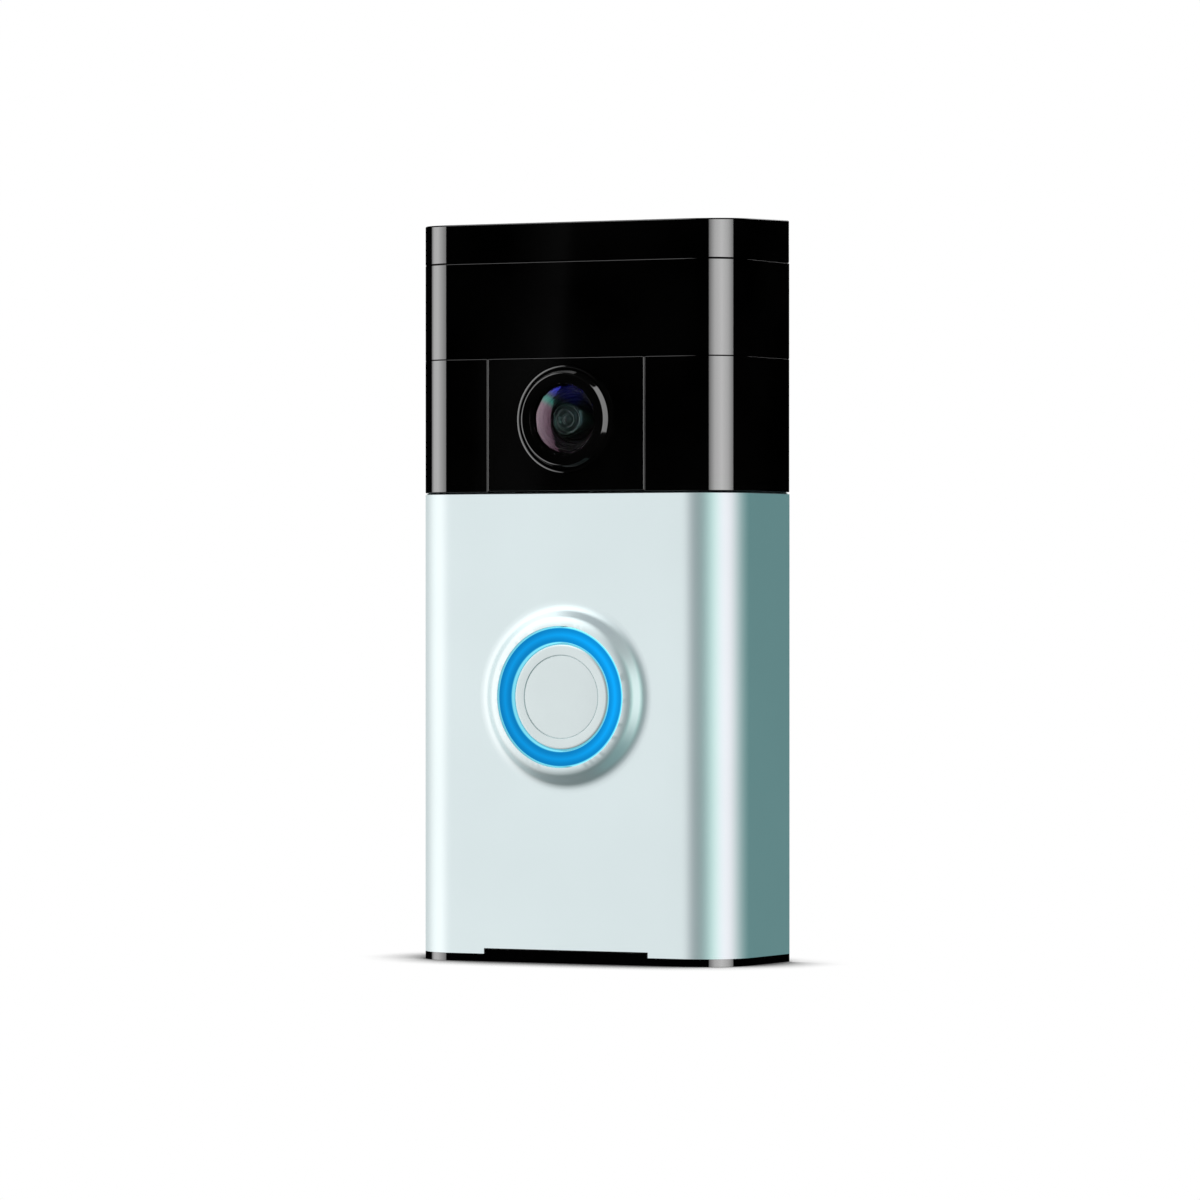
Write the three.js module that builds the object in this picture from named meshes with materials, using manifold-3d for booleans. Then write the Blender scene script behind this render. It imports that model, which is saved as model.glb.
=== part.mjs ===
// Video doorbell: wall bracket, sealed black housing, silver faceplate and a lit push button.
// Millimetres. X to the right, Y into the wall (the bracket's wall face is Y = 0), Z up.
import * as THREE from 'three';
import { mergeVertices } from 'three/addons/utils/BufferGeometryUtils.js';
import Module from 'manifold-3d';

const wasm = await Module();
wasm.setup();

// ---------------------------------------------------------------- driving sizes
const WIDTH = 61.7;
const HEIGHT = 126.5;
const DEPTH = 24.1;
const EDGE_R = 8.7; // radius of the two upright front edges
const TOP_RISE = 0.6; // the top sheds rain: its wall edge is higher than its front edge

const SKIN = 1.6; // faceplate, windows and cap
const WALL = 1.8; // walls of the housing behind the skins
const FIT = 0.2; // between a skin and the housing, and around fitted discs
const RUN = 0.3; // around pieces that slide or that pass through a hole
const SEAM = 0.4; // open joint under the sensor window
const HAIRLINE = 0.15; // closed joint between neighbouring skins
const RIM_SETBACK = 0.2; // back rims stop short of the wall

const CAP_HEIGHT = 6.9; // top edge down to the cap's joint
const SENSOR_BAND = 16.07; // cap joint down to the open joint
const CAMERA_BAND = 23.05; // open joint down to the silver faceplate
const CAP_WALL = 2.2;
const PANEL_HALF_W = 15.08;
const BASE_STRIP = 1.32;
const BASE_WALL = 3.15;
const NOTCH_HALF_W = 15.8;
const NOTCH_HEIGHT = 0.95;

const RECESS = 5; // wall plane to the rear cover
const COVER_T = 1.8;
const SEAL_T = 0.8;
const LEDGE_W = 1.2;
const LEDGE_T = 1.5;

const BRACKET_T = 3;
const BRACKET_SIDE_GAP = 0.65;
const BRACKET_TOP_GAP = 1;
const BRACKET_CORNER_R = 4;
const SLIDE = 5; // lift that frees the unit from the hooks
const SLIDE_SPARE = 0.5;
const WIRE_HALF_W = 7;
const WIRE_LOW = 8;
const WIRE_HIGH = 28;
const WALL_SCREW_R = 2.2;
const WALL_SCREW_IN = 6.6; // in from the bracket's sides
const WALL_SCREW_DROP = 11; // below the top, and twice that plus 2 above the bottom

const HOOK_W = 3.4;
const HOOK_LIP = 4.5;
const HOOK_T = 2;
const HOOK_LIP_T = 1.3;
const HOOK_DROP = 19.25; // top edge down to the upper hooks' bearing faces
const HOOK_LIFT = 33.25; // bottom edge up to the lower hooks' bearing faces
const POCKET_WALL = 0.9;
const POCKET_SPARE = 0.4;

const LUG_X = 14;
const LUG_HALF_W = 2.5;
const LUG_T = 4.7;
const LUG_HEIGHT = 11.2;
const SECURITY_R = 1;
const SECURITY_HEAD_R = 1.8;
const SECURITY_HEAD_T = 1;
const SECURITY_LENGTH = 12.6;
const SECURITY_SINK = 1.2;

const BUTTON_DROP = 35; // faceplate's top edge down to the button's centre
const BEZEL_RISE = 2.04;
const BEZEL_FOOT_R = 15.9;
const BEZEL_RAMP = [ // shares of the way in and up: a soft foot, a slope and a rounded crest
  [0, 0], [0.18, 0.15], [0.37, 0.46], [0.55, 0.76], [0.74, 0.94], [0.87, 1], [1, 0.93],
];
const RING_R = 11.9;
const RING_IN_R = 9.3;
const CAP_R = 9;
const CAP_FLANGE_R = 9.9;
const CAP_SINK = 0.4; // button face below the bezel's crest
const CAP_GROOVE_R = 7.3;
const CAP_GROOVE_W = 0.3;
const CAP_SKIRT_T = 0.8;
const STEM_R = 2.6;
const BOOT_R = 5.4;
const BOOT_T = 0.9;
const BUTTON_TRAVEL = 0.6;
const BUTTON_STOP = 0.05;
const BUTTON_BOARD_R = 15;
const BUTTON_BOARD_T = 1;
const BUTTON_POST_PITCH_R = 13.2;
const SWITCH_SIDE = 6;
const SWITCH_T = 1.8;
const PLUNGER_R = 1.6;
const PLUNGER_T = BUTTON_TRAVEL; // stands this far out of its switch
const SWITCH_FLOOR = 0.5;
const SWITCH_GIVE = 0.45; // room under a plunger at rest
const RING_LED_COUNT = 4;
const RING_LED_PITCH_R = 10.6;
const RING_LED_SIDE = 2;
const RING_LED_T = 0.9;

const LENS_DROP = 33.67; // top edge down to the lens centre
const LENS_RING_R = 9.13;
const LENS_RING_RISE = 0.7;
const LENS_LIP_R = 7.65;
const LENS_LIP_RISE = 1.3;
const LENS_LIP_W = 0.45;
const DOME_R = 5.9;
const DOME_RISE = 0.85;
const DOME_T = 1.2;
const BARREL_R = 5;
const BARREL_WALL = 0.8;
const BARREL_FLANGE_R = 8.2;
const BARREL_FLANGE_T = 1.5;
const HOLDER_SIDE = 13;
const HOLDER_T = 4;
const BOARD_T = 1;
const CAMERA_BOARD_SIDE = 17;
const SENSOR_SIZE = [6, 0.9, 5];

const IR_BOARD_W = 7;
const IR_BOARD_HEIGHT = 18;
const IR_LED_R = 2;
const IR_LED_T = 1.7;

const PIR_R = 4.1;
const PIR_T = 3.6;
const PIR_BOARD_HEIGHT = 9.6;
const PIR_POST_R = 1.6;

const MAIN_BOARD_T = 1.2;
const MAIN_BOARD_HEIGHT = 40;
const MAIN_POST_R = 1.8;
const MAIN_PIN_R = 0.8;
const MAIN_POST_IN = 3.2; // posts in from the cavity's sides and the board's ends
const SHIELD_SIZE = [15, 2.2, 13];

const USB_WIDTH = 8;
const USB_HEIGHT = 3.2;
const USB_WALL = 0.5;
const USB_X = -11;
const SETUP_X = 11;
const SOCKET_DROP = 18; // top edge down to the rear socket and setup button
const SETUP_R = 2;
const SETUP_FLANGE_R = 2.9;
const SETUP_TRAVEL = 0.45;
const SETUP_SWITCH_SIDE = 5;
const SETUP_SWITCH_T = 1.6;
const SETUP_PLUNGER_R = 1.2;
const SETUP_PLUNGER_T = SETUP_TRAVEL;

const BATTERY_PAD_T = 0.6;
const BATTERY_GAP = 0.5;
const SPEAKER_SIZE = [28, 7, 10];
const MAGNET_T = 1.5;
const GASKET_T = 1.1;
const GASKET_FRAME = 2;
const MIC_SIZE = [3, 4, 1.5];
const MIC_X = 17.8;

const TERMINAL_X = 12;
const TERMINAL_Z = 18;
const TERMINAL_HEAD_R = 3;
const TERMINAL_HEAD_T = 0.9;
const TERMINAL_SHANK_R = 1.2;
const TERMINAL_SLOT = 0.8;
const SPRING_W = 5;
const SPRING_T = 0.4;
const SPRING_DROP = 13;
const PAD_T = 0.3;
const PAD_W = 6;

const BOSS_R = 2.6;
const BOSS_IN = 4.05; // bosses in from the cavity's sides
const BOSS_END_GAP = 1.45; // bosses off the ledge at the top and bottom
const COVER_SCREW_R = 0.85;
const COVER_SCREW_LENGTH = 7;
const COVER_HEAD_R = 2;
const COVER_HEAD_T = 1;
const CLIP_DEPTH = 0.6;
const CLIP_HALF_HEIGHT = 4;
const CLIP_THICK = 1.5;

const ROUND_LARGE = 44;
const ROUND_MEDIUM = 24;
const ROUND_SMALL = 14;
const CORNER_STEPS = 8;
const INNER_STEPS = 5;
const PAST = 1; // cutters run this far past the face they open

// ---------------------------------------------------------------- derived planes
const HALF_W = WIDTH / 2;
const TOP = HEIGHT / 2;
const BOTTOM = -TOP;
const FRONT = -DEPTH;
const RIM = -RIM_SETBACK;
const HOUSING_INSET = SKIN + FIT;
const CAVITY_INSET = HOUSING_INSET + WALL;
const SKIN_BACK = FRONT + SKIN;
const HOUSING_FRONT = FRONT + HOUSING_INSET;
const CAVITY_FRONT = FRONT + CAVITY_INSET;
const CAVITY_HALF_W = HALF_W - CAVITY_INSET;
const CAVITY_BOTTOM = BOTTOM + BASE_WALL;
const HOUSING_TOP = TOP - CAP_WALL - FIT;
const CAVITY_TOP = HOUSING_TOP - WALL;
const CAP_JOINT = TOP - CAP_HEIGHT;
const OPEN_JOINT = CAP_JOINT - SENSOR_BAND;
const SILVER_TOP = OPEN_JOINT - CAMERA_BAND;
const SILVER_BOTTOM = BOTTOM + BASE_STRIP;
const COVER_OUT = -RECESS;
const COVER_IN = COVER_OUT - COVER_T;
const LEDGE = COVER_IN - SEAL_T;
const LEDGE_HALF_W = CAVITY_HALF_W - LEDGE_W;
const BOSS_X = CAVITY_HALF_W - BOSS_IN;
const BOSS_TOP_Z = CAVITY_TOP - LEDGE_W - BOSS_END_GAP - BOSS_R + FIT;
const BOSS_LOW_Z = CAVITY_BOTTOM + LEDGE_W + BOSS_R + FIT;
const BRACKET_HALF_W = CAVITY_HALF_W - BRACKET_SIDE_GAP;
const BRACKET_LOW = CAVITY_BOTTOM + SLIDE + SLIDE_SPARE;
const BRACKET_HIGH = CAVITY_TOP - BRACKET_TOP_GAP;
const POCKET_HALF_W = HOOK_W / 2 + POCKET_SPARE;
const HOOK_X = LEDGE_HALF_W - RUN - POCKET_WALL - POCKET_HALF_W;
const HOOK_HEIGHTS = [TOP - HOOK_DROP, BOTTOM + HOOK_LIFT];
const LIP_BACK = COVER_IN - RUN;
const LIP_FRONT = LIP_BACK - HOOK_LIP_T;
const POCKET_FRONT = LIP_FRONT - RUN;
const SECURITY_Y = -LUG_T / 2 - FIT;
const BUTTON_Z = SILVER_TOP - BUTTON_DROP;
const CREST = FRONT - BEZEL_RISE;
const CAP_FACE = CREST + CAP_SINK;
const BUTTON_BOARD_FRONT = CAVITY_FRONT - FIT + RUN + PLUNGER_T + SWITCH_T;
const LENS_Z = TOP - LENS_DROP;
const MAIN_BACK = POCKET_FRONT - POCKET_WALL - POCKET_SPARE;
const MAIN_FRONT = MAIN_BACK - MAIN_BOARD_T;
const MAIN_HIGH = BOSS_TOP_Z - BOSS_R - RUN;
const MAIN_LOW = MAIN_HIGH - MAIN_BOARD_HEIGHT;
const MAIN_POST_X = CAVITY_HALF_W - MAIN_POST_IN;
const MAIN_POST_ZS = [MAIN_LOW + MAIN_POST_IN, MAIN_HIGH - MAIN_POST_IN];
const SOCKET_Z = TOP - SOCKET_DROP;
const PIR_Z = (CAP_JOINT + OPEN_JOINT) / 2;
const PIR_X = BOSS_X - BOSS_R - PIR_R - RUN;
const PIR_BOARD_FRONT = HOUSING_FRONT + PIR_T;
const IR_X = HALF_W - EDGE_R - RUN - IR_BOARD_W / 2;
const IR_Z = (OPEN_JOINT + SILVER_TOP) / 2;
const BATTERY_HALF_W = HOOK_X - POCKET_HALF_W - POCKET_WALL - BATTERY_GAP;
const BATTERY_BACK = COVER_IN - BATTERY_PAD_T;
const BATTERY_FRONT = BUTTON_BOARD_FRONT + BUTTON_BOARD_T + BATTERY_GAP;
const SPEAKER_LOW = CAVITY_BOTTOM + GASKET_T;
const BATTERY_LOW = SPEAKER_LOW + SPEAKER_SIZE[2] + BATTERY_GAP * 2;
const BATTERY_HIGH = MAIN_LOW - BATTERY_GAP * 4;

// ---------------------------------------------------------------- solids
/** Turns a closed geometry into a manifold solid. */
function toSolid(shape) {
  if (shape instanceof wasm.Manifold) return shape;
  const bare = shape.clone();
  bare.deleteAttribute('normal');
  bare.deleteAttribute('uv');
  const merged = mergeVertices(bare, 1e-4);
  const corners = Array.from(merged.index.array);
  const kept = [];
  for (let i = 0; i < corners.length; i += 3) {
    const [a, b, c] = corners.slice(i, i + 3);
    if (a !== b && b !== c && c !== a) kept.push(a, b, c);
  }
  const vertProperties = new Float32Array(merged.attributes.position.array);
  return new wasm.Manifold(new wasm.Mesh({ numProp: 3, vertProperties, triVerts: new Uint32Array(kept) }));
}

/** Turns a manifold solid back into a geometry. */
function toGeometry(shape) {
  if (!(shape instanceof wasm.Manifold)) return shape;
  const made = shape.getMesh();
  const geometry = new THREE.BufferGeometry();
  geometry.setAttribute('position', new THREE.BufferAttribute(new Float32Array(made.vertProperties), 3));
  geometry.setIndex(new THREE.BufferAttribute(new Uint32Array(made.triVerts), 1));
  geometry.computeVertexNormals();
  return geometry;
}

const join = (...shapes) => shapes.map(toSolid).reduce((all, next) => all.add(next));
const cut = (shape, ...tools) =>
  tools.map(toSolid).reduce((rest, tool) => rest.subtract(tool), toSolid(shape));
const common = (first, second) => toSolid(first).intersect(toSolid(second));

/** Block between two corners. */
function block(x0, x1, y0, y1, z0, z1) {
  const geometry = new THREE.BoxGeometry(Math.abs(x1 - x0), Math.abs(y1 - y0), Math.abs(z1 - z0));
  return geometry.translate((x0 + x1) / 2, (y0 + y1) / 2, (z0 + z1) / 2);
}

/** Cylinder along Y between two depths. */
function rod(radius, y0, y1, x = 0, z = 0, sides = ROUND_SMALL) {
  const geometry = new THREE.CylinderGeometry(radius, radius, Math.abs(y1 - y0), sides);
  return geometry.translate(x, (y0 + y1) / 2, z);
}

/** Cylinder along Z between two heights. */
function post(radius, z0, z1, x, y, sides = ROUND_SMALL) {
  const geometry = new THREE.CylinderGeometry(radius, radius, Math.abs(z1 - z0), sides);
  return geometry.rotateX(Math.PI / 2).translate(x, y, (z0 + z1) / 2);
}

/** Profile of [radius, depth] points turned about the Y axis, then moved to (x, z). */
function turned(profile, sides, x = 0, z = 0) {
  const doubledArea = profile.reduce((sum, [r, y], i) => {
    const [nextR, nextY] = profile[(i + 1) % profile.length];
    return sum + r * nextY - nextR * y;
  }, 0);
  const ordered = doubledArea > 0 ? profile : [...profile].reverse();
  const open = ordered[0][0] === 0 && ordered.at(-1)[0] === 0;
  const points = (open ? ordered : [...ordered, ordered[0]]).map(([r, y]) => new THREE.Vector2(r, y));
  return new THREE.LatheGeometry(points, sides).translate(x, 0, z);
}

/** Outline drawn in X and Y, raised from one height to another. */
function raised(shape, z0, z1, steps = INNER_STEPS) {
  const options = { depth: z1 - z0, bevelEnabled: false, curveSegments: steps };
  return new THREE.ExtrudeGeometry(shape, options).translate(0, 0, z0);
}

/** Outline drawn in X and Z, as thick as the depth between its wall side and its front side. */
function plate(shape, wallSide, frontSide) {
  const options = { depth: wallSide - frontSide, bevelEnabled: false, curveSegments: INNER_STEPS };
  return new THREE.ExtrudeGeometry(shape, options).rotateX(Math.PI / 2).translate(0, wallSide, 0);
}

/** Outline drawn in Y and Z, as wide as the distance from x0 to x1. */
function across(points, x0, x1) {
  const shape = new THREE.Shape(points.map(([y, z]) => new THREE.Vector2(y, z)));
  const geometry = new THREE.ExtrudeGeometry(shape, { depth: x1 - x0, bevelEnabled: false });
  const turn = new THREE.Matrix4().makeBasis(
    new THREE.Vector3(0, 1, 0), new THREE.Vector3(0, 0, 1), new THREE.Vector3(1, 0, 0));
  return geometry.applyMatrix4(turn).translate(x0, 0, 0);
}

/** Plan of the body, set in from its outer faces: square at the wall, round at the front edges. */
function bodyPlan(inset, back) {
  const half = HALF_W - inset;
  const front = FRONT + inset;
  const radius = EDGE_R - inset;
  const shape = new THREE.Shape();
  shape.moveTo(-half, back);
  shape.lineTo(-half, front + radius);
  shape.absarc(-half + radius, front + radius, radius, Math.PI, 1.5 * Math.PI);
  shape.absarc(half - radius, front + radius, radius, 1.5 * Math.PI, 2 * Math.PI);
  shape.lineTo(half, back);
  return shape;
}

/** Rectangle in X and Z with round corners. */
function roundedRect(x0, x1, z0, z1, radius) {
  const shape = new THREE.Shape();
  shape.moveTo(x0 + radius, z0);
  shape.lineTo(x1 - radius, z0);
  shape.absarc(x1 - radius, z0 + radius, radius, -Math.PI / 2, 0);
  shape.absarc(x1 - radius, z1 - radius, radius, 0, Math.PI / 2);
  shape.absarc(x0 + radius, z1 - radius, radius, Math.PI / 2, Math.PI);
  shape.absarc(x0 + radius, z0 + radius, radius, Math.PI, 1.5 * Math.PI);
  return shape;
}

/** Skin of the body between two heights, open at the back and at both ends. */
function skinBand(z0, z1) {
  const outer = raised(bodyPlan(0, RIM), z0, z1, CORNER_STEPS);
  return cut(outer, raised(bodyPlan(SKIN, RIM + PAST), z0 - PAST, z1 + PAST));
}

// ---------------------------------------------------------------- finishes
const finish = (color, roughness, metalness = 0) =>
  new THREE.MeshStandardMaterial({ color, roughness, metalness });
const satinSilver = finish(0xd8e4e7, 0.35, 0.7);
const glossBlack = finish(0x050505, 0.08);
const mattBlack = finish(0x1c1c1e, 0.7);
const clearBlue = finish(0x0091e1, 0.3);
const coatedGlass = finish(0x223a5e, 0.05);
const opticGlass = finish(0x9fb7c4, 0.05);
const boardGreen = finish(0x1f5a3a, 0.6);
const steel = finish(0xb8bcc0, 0.3, 1);
const gold = finish(0xd1a94e, 0.3, 1);
const rubber = finish(0x2a2a2c, 0.9);
const foil = finish(0x8f979c, 0.4, 0.8);
const orange = finish(0xe8731e, 0.5);
const amber = finish(0xb98e3c, 0.6);

const SIDES = [['left', -1], ['right', 1]];

/** Adds a named mesh to a group. */
function add(group, name, shape, material, place = [0, 0, 0]) {
  const mesh = new THREE.Mesh(toGeometry(shape), material);
  mesh.name = name;
  mesh.position.set(...place);
  group.add(mesh);
}

/** Screw along Y with its head towards the wall: the underside of the head is at Y = 0. */
function screwIntoFront(headR, headT, shankR, length) {
  const body = join(rod(headR, 0, headT), rod(shankR, -length, PAST / 10));
  return cut(body, rod(headR / 2, headT / 2, headT + PAST, 0, 0, 6));
}

// ---------------------------------------------------------------- bracket
/** One upturned hook on the bracket's front. */
function hook(x, bearing) {
  const x0 = x - HOOK_W / 2;
  const x1 = x + HOOK_W / 2;
  const shank = block(x0, x1, -BRACKET_T / 2, LIP_FRONT, bearing - HOOK_T, bearing);
  const lip = block(x0, x1, LIP_BACK, LIP_FRONT, bearing - HOOK_T, bearing + HOOK_LIP);
  return join(shank, lip);
}

/** One lug at the bracket's foot, bored from below for a security screw. */
function lug(x) {
  const body = block(x - LUG_HALF_W, x + LUG_HALF_W, 0, -LUG_T, BRACKET_LOW, BRACKET_LOW + LUG_HEIGHT);
  const boreTop = BRACKET_LOW + LUG_HEIGHT - 1;
  return cut(body, post(SECURITY_R + RUN, BRACKET_LOW - PAST, boreTop, x, SECURITY_Y));
}

function mountingBracket() {
  const outline = roundedRect(-BRACKET_HALF_W, BRACKET_HALF_W, BRACKET_LOW, BRACKET_HIGH, BRACKET_CORNER_R);
  const wires = roundedRect(-WIRE_HALF_W, WIRE_HALF_W, WIRE_LOW, WIRE_HIGH, 2);
  let body = cut(plate(outline, 0, -BRACKET_T), plate(wires, PAST, -BRACKET_T - PAST));
  for (const [, side] of SIDES) {
    const screwX = side * (BRACKET_HALF_W - WALL_SCREW_IN);
    for (const z of [TOP - WALL_SCREW_DROP, BOTTOM + 2 * WALL_SCREW_DROP + 2]) {
      body = cut(body, rod(WALL_SCREW_R, PAST, -BRACKET_T - PAST, screwX, z));
    }
    body = cut(body, rod(TERMINAL_SHANK_R + RUN, PAST, -BRACKET_T - PAST, side * TERMINAL_X, TERMINAL_Z));
    const lugBlank = block(side * LUG_X - LUG_HALF_W, side * LUG_X + LUG_HALF_W, PAST, -BRACKET_T - PAST,
      BRACKET_LOW - PAST, BRACKET_LOW + LUG_HEIGHT);
    body = join(cut(body, lugBlank), lug(side * LUG_X));
    for (const bearing of HOOK_HEIGHTS) body = join(body, hook(side * HOOK_X, bearing));
  }
  return body;
}

/** Leaf spring: flat under the terminal screw, then bowed out towards the unit's contact pad. */
function contactSpring() {
  const seat = -BRACKET_T;
  const crest = COVER_OUT + PAD_T + RUN + SPRING_T;
  const low = TERMINAL_Z - SPRING_DROP;
  const path = [
    [seat, TERMINAL_Z + 3.5], [seat, low + 7.5], [crest, low + 4], [crest, low + 2.5], [seat, low],
  ];
  const front = [...path].reverse().map(([y, z]) => [y - SPRING_T, z]);
  const strip = across([...path, ...front], -SPRING_W / 2, SPRING_W / 2);
  return cut(strip, rod(TERMINAL_SHANK_R + RUN, seat + PAST, seat - PAST, 0, TERMINAL_Z));
}

function makeBracket() {
  const group = new THREE.Group();
  add(group, 'mounting_bracket', mountingBracket(), mattBlack);
  const shank = BRACKET_T - RUN;
  for (const [name, side] of SIDES) {
    const screw = join(
      rod(TERMINAL_HEAD_R, 0, -TERMINAL_HEAD_T),
      rod(TERMINAL_SHANK_R, SPRING_T + shank, -TERMINAL_HEAD_T / 2),
    );
    const slot = block(-TERMINAL_HEAD_R, TERMINAL_HEAD_R,
      -TERMINAL_HEAD_T - PAST, -TERMINAL_HEAD_T / 2, -TERMINAL_SLOT / 2, TERMINAL_SLOT / 2);
    add(group, `terminal_screw_${name}`, cut(screw, slot), steel,
      [side * TERMINAL_X, -BRACKET_T - SPRING_T, TERMINAL_Z]);
    add(group, `contact_spring_${name}`, contactSpring(), gold, [side * TERMINAL_X, 0, 0]);
  }
  return group;
}

// ---------------------------------------------------------------- housing and rear cover
function frontHousing() {
  const core = raised(bodyPlan(HOUSING_INSET, RIM), SILVER_BOTTOM - PAST / 2, HOUSING_TOP);
  const base = raised(bodyPlan(0, RIM), BOTTOM, SILVER_BOTTOM, CORNER_STEPS);
  const tabHalf = NOTCH_HALF_W - HAIRLINE;
  const tabTop = SILVER_BOTTOM + NOTCH_HEIGHT - HAIRLINE;
  const tab = block(-tabHalf, tabHalf, FRONT, HOUSING_FRONT + PAST, BOTTOM, tabTop);
  const deep = raised(bodyPlan(CAVITY_INSET, LEDGE - LEDGE_T), CAVITY_BOTTOM, CAVITY_TOP);
  const throat = block(-LEDGE_HALF_W, LEDGE_HALF_W, LEDGE - LEDGE_T - PAST, LEDGE + PAST,
    CAVITY_BOTTOM + LEDGE_W, CAVITY_TOP - LEDGE_W);
  const mouth = block(-CAVITY_HALF_W, CAVITY_HALF_W, LEDGE, PAST, CAVITY_BOTTOM, CAVITY_TOP);
  let body = cut(join(core, base, tab), deep, throat, mouth);
  body = join(body, ...coverBosses(), ...boardPosts());
  body = cut(body, ...bossPilots(), ...frontOpenings(), ...baseOpenings());
  for (const [, side] of SIDES) {
    for (const z of clipHeights()) body = cut(body, clip(side, z, RUN));
  }
  return body;
}

const bossPlaces = () => SIDES.flatMap(([, side]) => [BOSS_TOP_Z, BOSS_LOW_Z].map((z) => [side * BOSS_X, z]));
const coverBosses = () => bossPlaces().map(([x, z]) => rod(BOSS_R, CAVITY_FRONT - PAST / 2, COVER_IN, x, z));
const bossPilots = () => bossPlaces().map(([x, z]) =>
  rod(COVER_SCREW_R + RUN, COVER_IN + PAST, COVER_IN - COVER_SCREW_LENGTH - RUN, x, z));

/** Posts inside the front wall that carry the main board, the sensor board and the button board. */
function boardPosts() {
  const posts = [];
  for (const [, side] of SIDES) {
    for (const z of MAIN_POST_ZS) {
      posts.push(rod(MAIN_POST_R, CAVITY_FRONT - PAST / 2, MAIN_FRONT, side * MAIN_POST_X, z));
      posts.push(rod(MAIN_PIN_R, MAIN_FRONT - PAST, MAIN_BACK + RUN, side * MAIN_POST_X, z, 12));
    }
    posts.push(rod(PIR_POST_R, CAVITY_FRONT - PAST / 2, PIR_BOARD_FRONT, side * PIR_X / 2, PIR_Z));
    const buttonPostX = side * BUTTON_POST_PITCH_R;
    posts.push(rod(PIR_POST_R, CAVITY_FRONT - PAST / 2, BUTTON_BOARD_FRONT, buttonPostX, BUTTON_Z));
  }
  return posts;
}

/** Holes in the front wall behind the skins. */
function frontOpenings() {
  const through = (radius, x, z, sides = ROUND_SMALL) =>
    rod(radius, HOUSING_FRONT - PAST, CAVITY_FRONT + PAST / 4, x, z, sides);
  const holes = [through(DOME_R + PAST, 0, LENS_Z, ROUND_MEDIUM), through(STEM_R + RUN, 0, BUTTON_Z)];
  for (const x of [-PIR_X, 0, PIR_X]) holes.push(through(PIR_R + RUN, x, PIR_Z));
  for (const [, side] of SIDES) holes.push(through(IR_LED_R + RUN, side * IR_X, IR_Z));
  for (const [x, z] of ringLedPlaces()) holes.push(through(RING_LED_SIDE * 0.75, x, BUTTON_Z + z));
  return holes;
}

/** Sound slots, microphone hole and security screw holes in the base. */
function baseOpenings() {
  const speakerY = speakerCentreY();
  const tools = [-8, -4, 0, 4, 8].map((x) =>
    block(x - 0.9, x + 0.9, speakerY - 2, speakerY + 2, BOTTOM - PAST, CAVITY_BOTTOM + PAST / 2));
  tools.push(post(0.6, BOTTOM - PAST, CAVITY_BOTTOM + PAST / 2, MIC_X, speakerY, 12));
  for (const [, side] of SIDES) {
    tools.push(post(SECURITY_R + RUN, BOTTOM - PAST, CAVITY_BOTTOM + PAST, side * LUG_X, SECURITY_Y));
    tools.push(post(SECURITY_HEAD_R + FIT, BOTTOM - PAST, BOTTOM + SECURITY_SINK, side * LUG_X, SECURITY_Y));
  }
  return tools;
}

const clipHeights = () => [SILVER_TOP - 12, SILVER_BOTTOM + 18];

/** Snap rib inside the faceplate's side wall, or with a clearance, the recess that takes it. */
function clip(side, z, clearance) {
  const face = HALF_W - SKIN;
  const y = (LEDGE + FRONT) / 2;
  return block(side * (face + PAST / 2), side * (face - CLIP_DEPTH - clearance / 3),
    y - CLIP_THICK / 2 - clearance, y + CLIP_THICK / 2 + clearance,
    z - CLIP_HALF_HEIGHT - clearance, z + CLIP_HALF_HEIGHT + clearance);
}

/** Blind pocket in the rear cover around one hook, long enough for the lift. */
function hookPocket(x, bearing) {
  const low = bearing - HOOK_T - SLIDE - POCKET_SPARE;
  const high = bearing + HOOK_LIP + POCKET_SPARE;
  const shell = block(x - POCKET_HALF_W - POCKET_WALL, x + POCKET_HALF_W + POCKET_WALL,
    COVER_IN + COVER_T / 2, POCKET_FRONT - POCKET_WALL, low - POCKET_WALL, high + POCKET_WALL);
  const hollow = block(x - POCKET_HALF_W, x + POCKET_HALF_W, COVER_IN, POCKET_FRONT, low, high);
  const slot = block(x - POCKET_HALF_W, x + POCKET_HALF_W,
    COVER_OUT + PAST, COVER_IN - PAST / 2, low, bearing);
  return { shell, hollow, slot };
}

/** Outline of the housing's mouth, less the fit, which the rear cover and its seal share. */
function mouthOutline() {
  const half = CAVITY_HALF_W - FIT;
  return roundedRect(-half, half, CAVITY_BOTTOM + FIT, CAVITY_TOP - FIT, 1);
}

function rearCover() {
  let body = toSolid(plate(mouthOutline(), COVER_OUT, COVER_IN));
  for (const [, side] of SIDES) {
    for (const bearing of HOOK_HEIGHTS) {
      const { shell, hollow, slot } = hookPocket(side * HOOK_X, bearing);
      body = cut(join(body, shell), hollow, slot);
    }
  }
  for (const [x, z] of bossPlaces()) {
    body = cut(body, rod(COVER_SCREW_R + RUN, PAST, COVER_IN - PAST, x, z));
    body = cut(body, rod(COVER_HEAD_R + RUN, PAST, COVER_OUT - COVER_HEAD_T, x, z));
  }
  const usbHalf = USB_WIDTH / 2 + RUN;
  const usb = block(USB_X - usbHalf, USB_X + usbHalf, COVER_OUT + PAST, COVER_IN - PAST,
    SOCKET_Z - USB_HEIGHT / 2 - RUN, SOCKET_Z + USB_HEIGHT / 2 + RUN);
  return cut(body, usb, rod(SETUP_R + RUN, COVER_OUT + PAST, COVER_IN - PAST, SETUP_X, SOCKET_Z));
}

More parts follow.
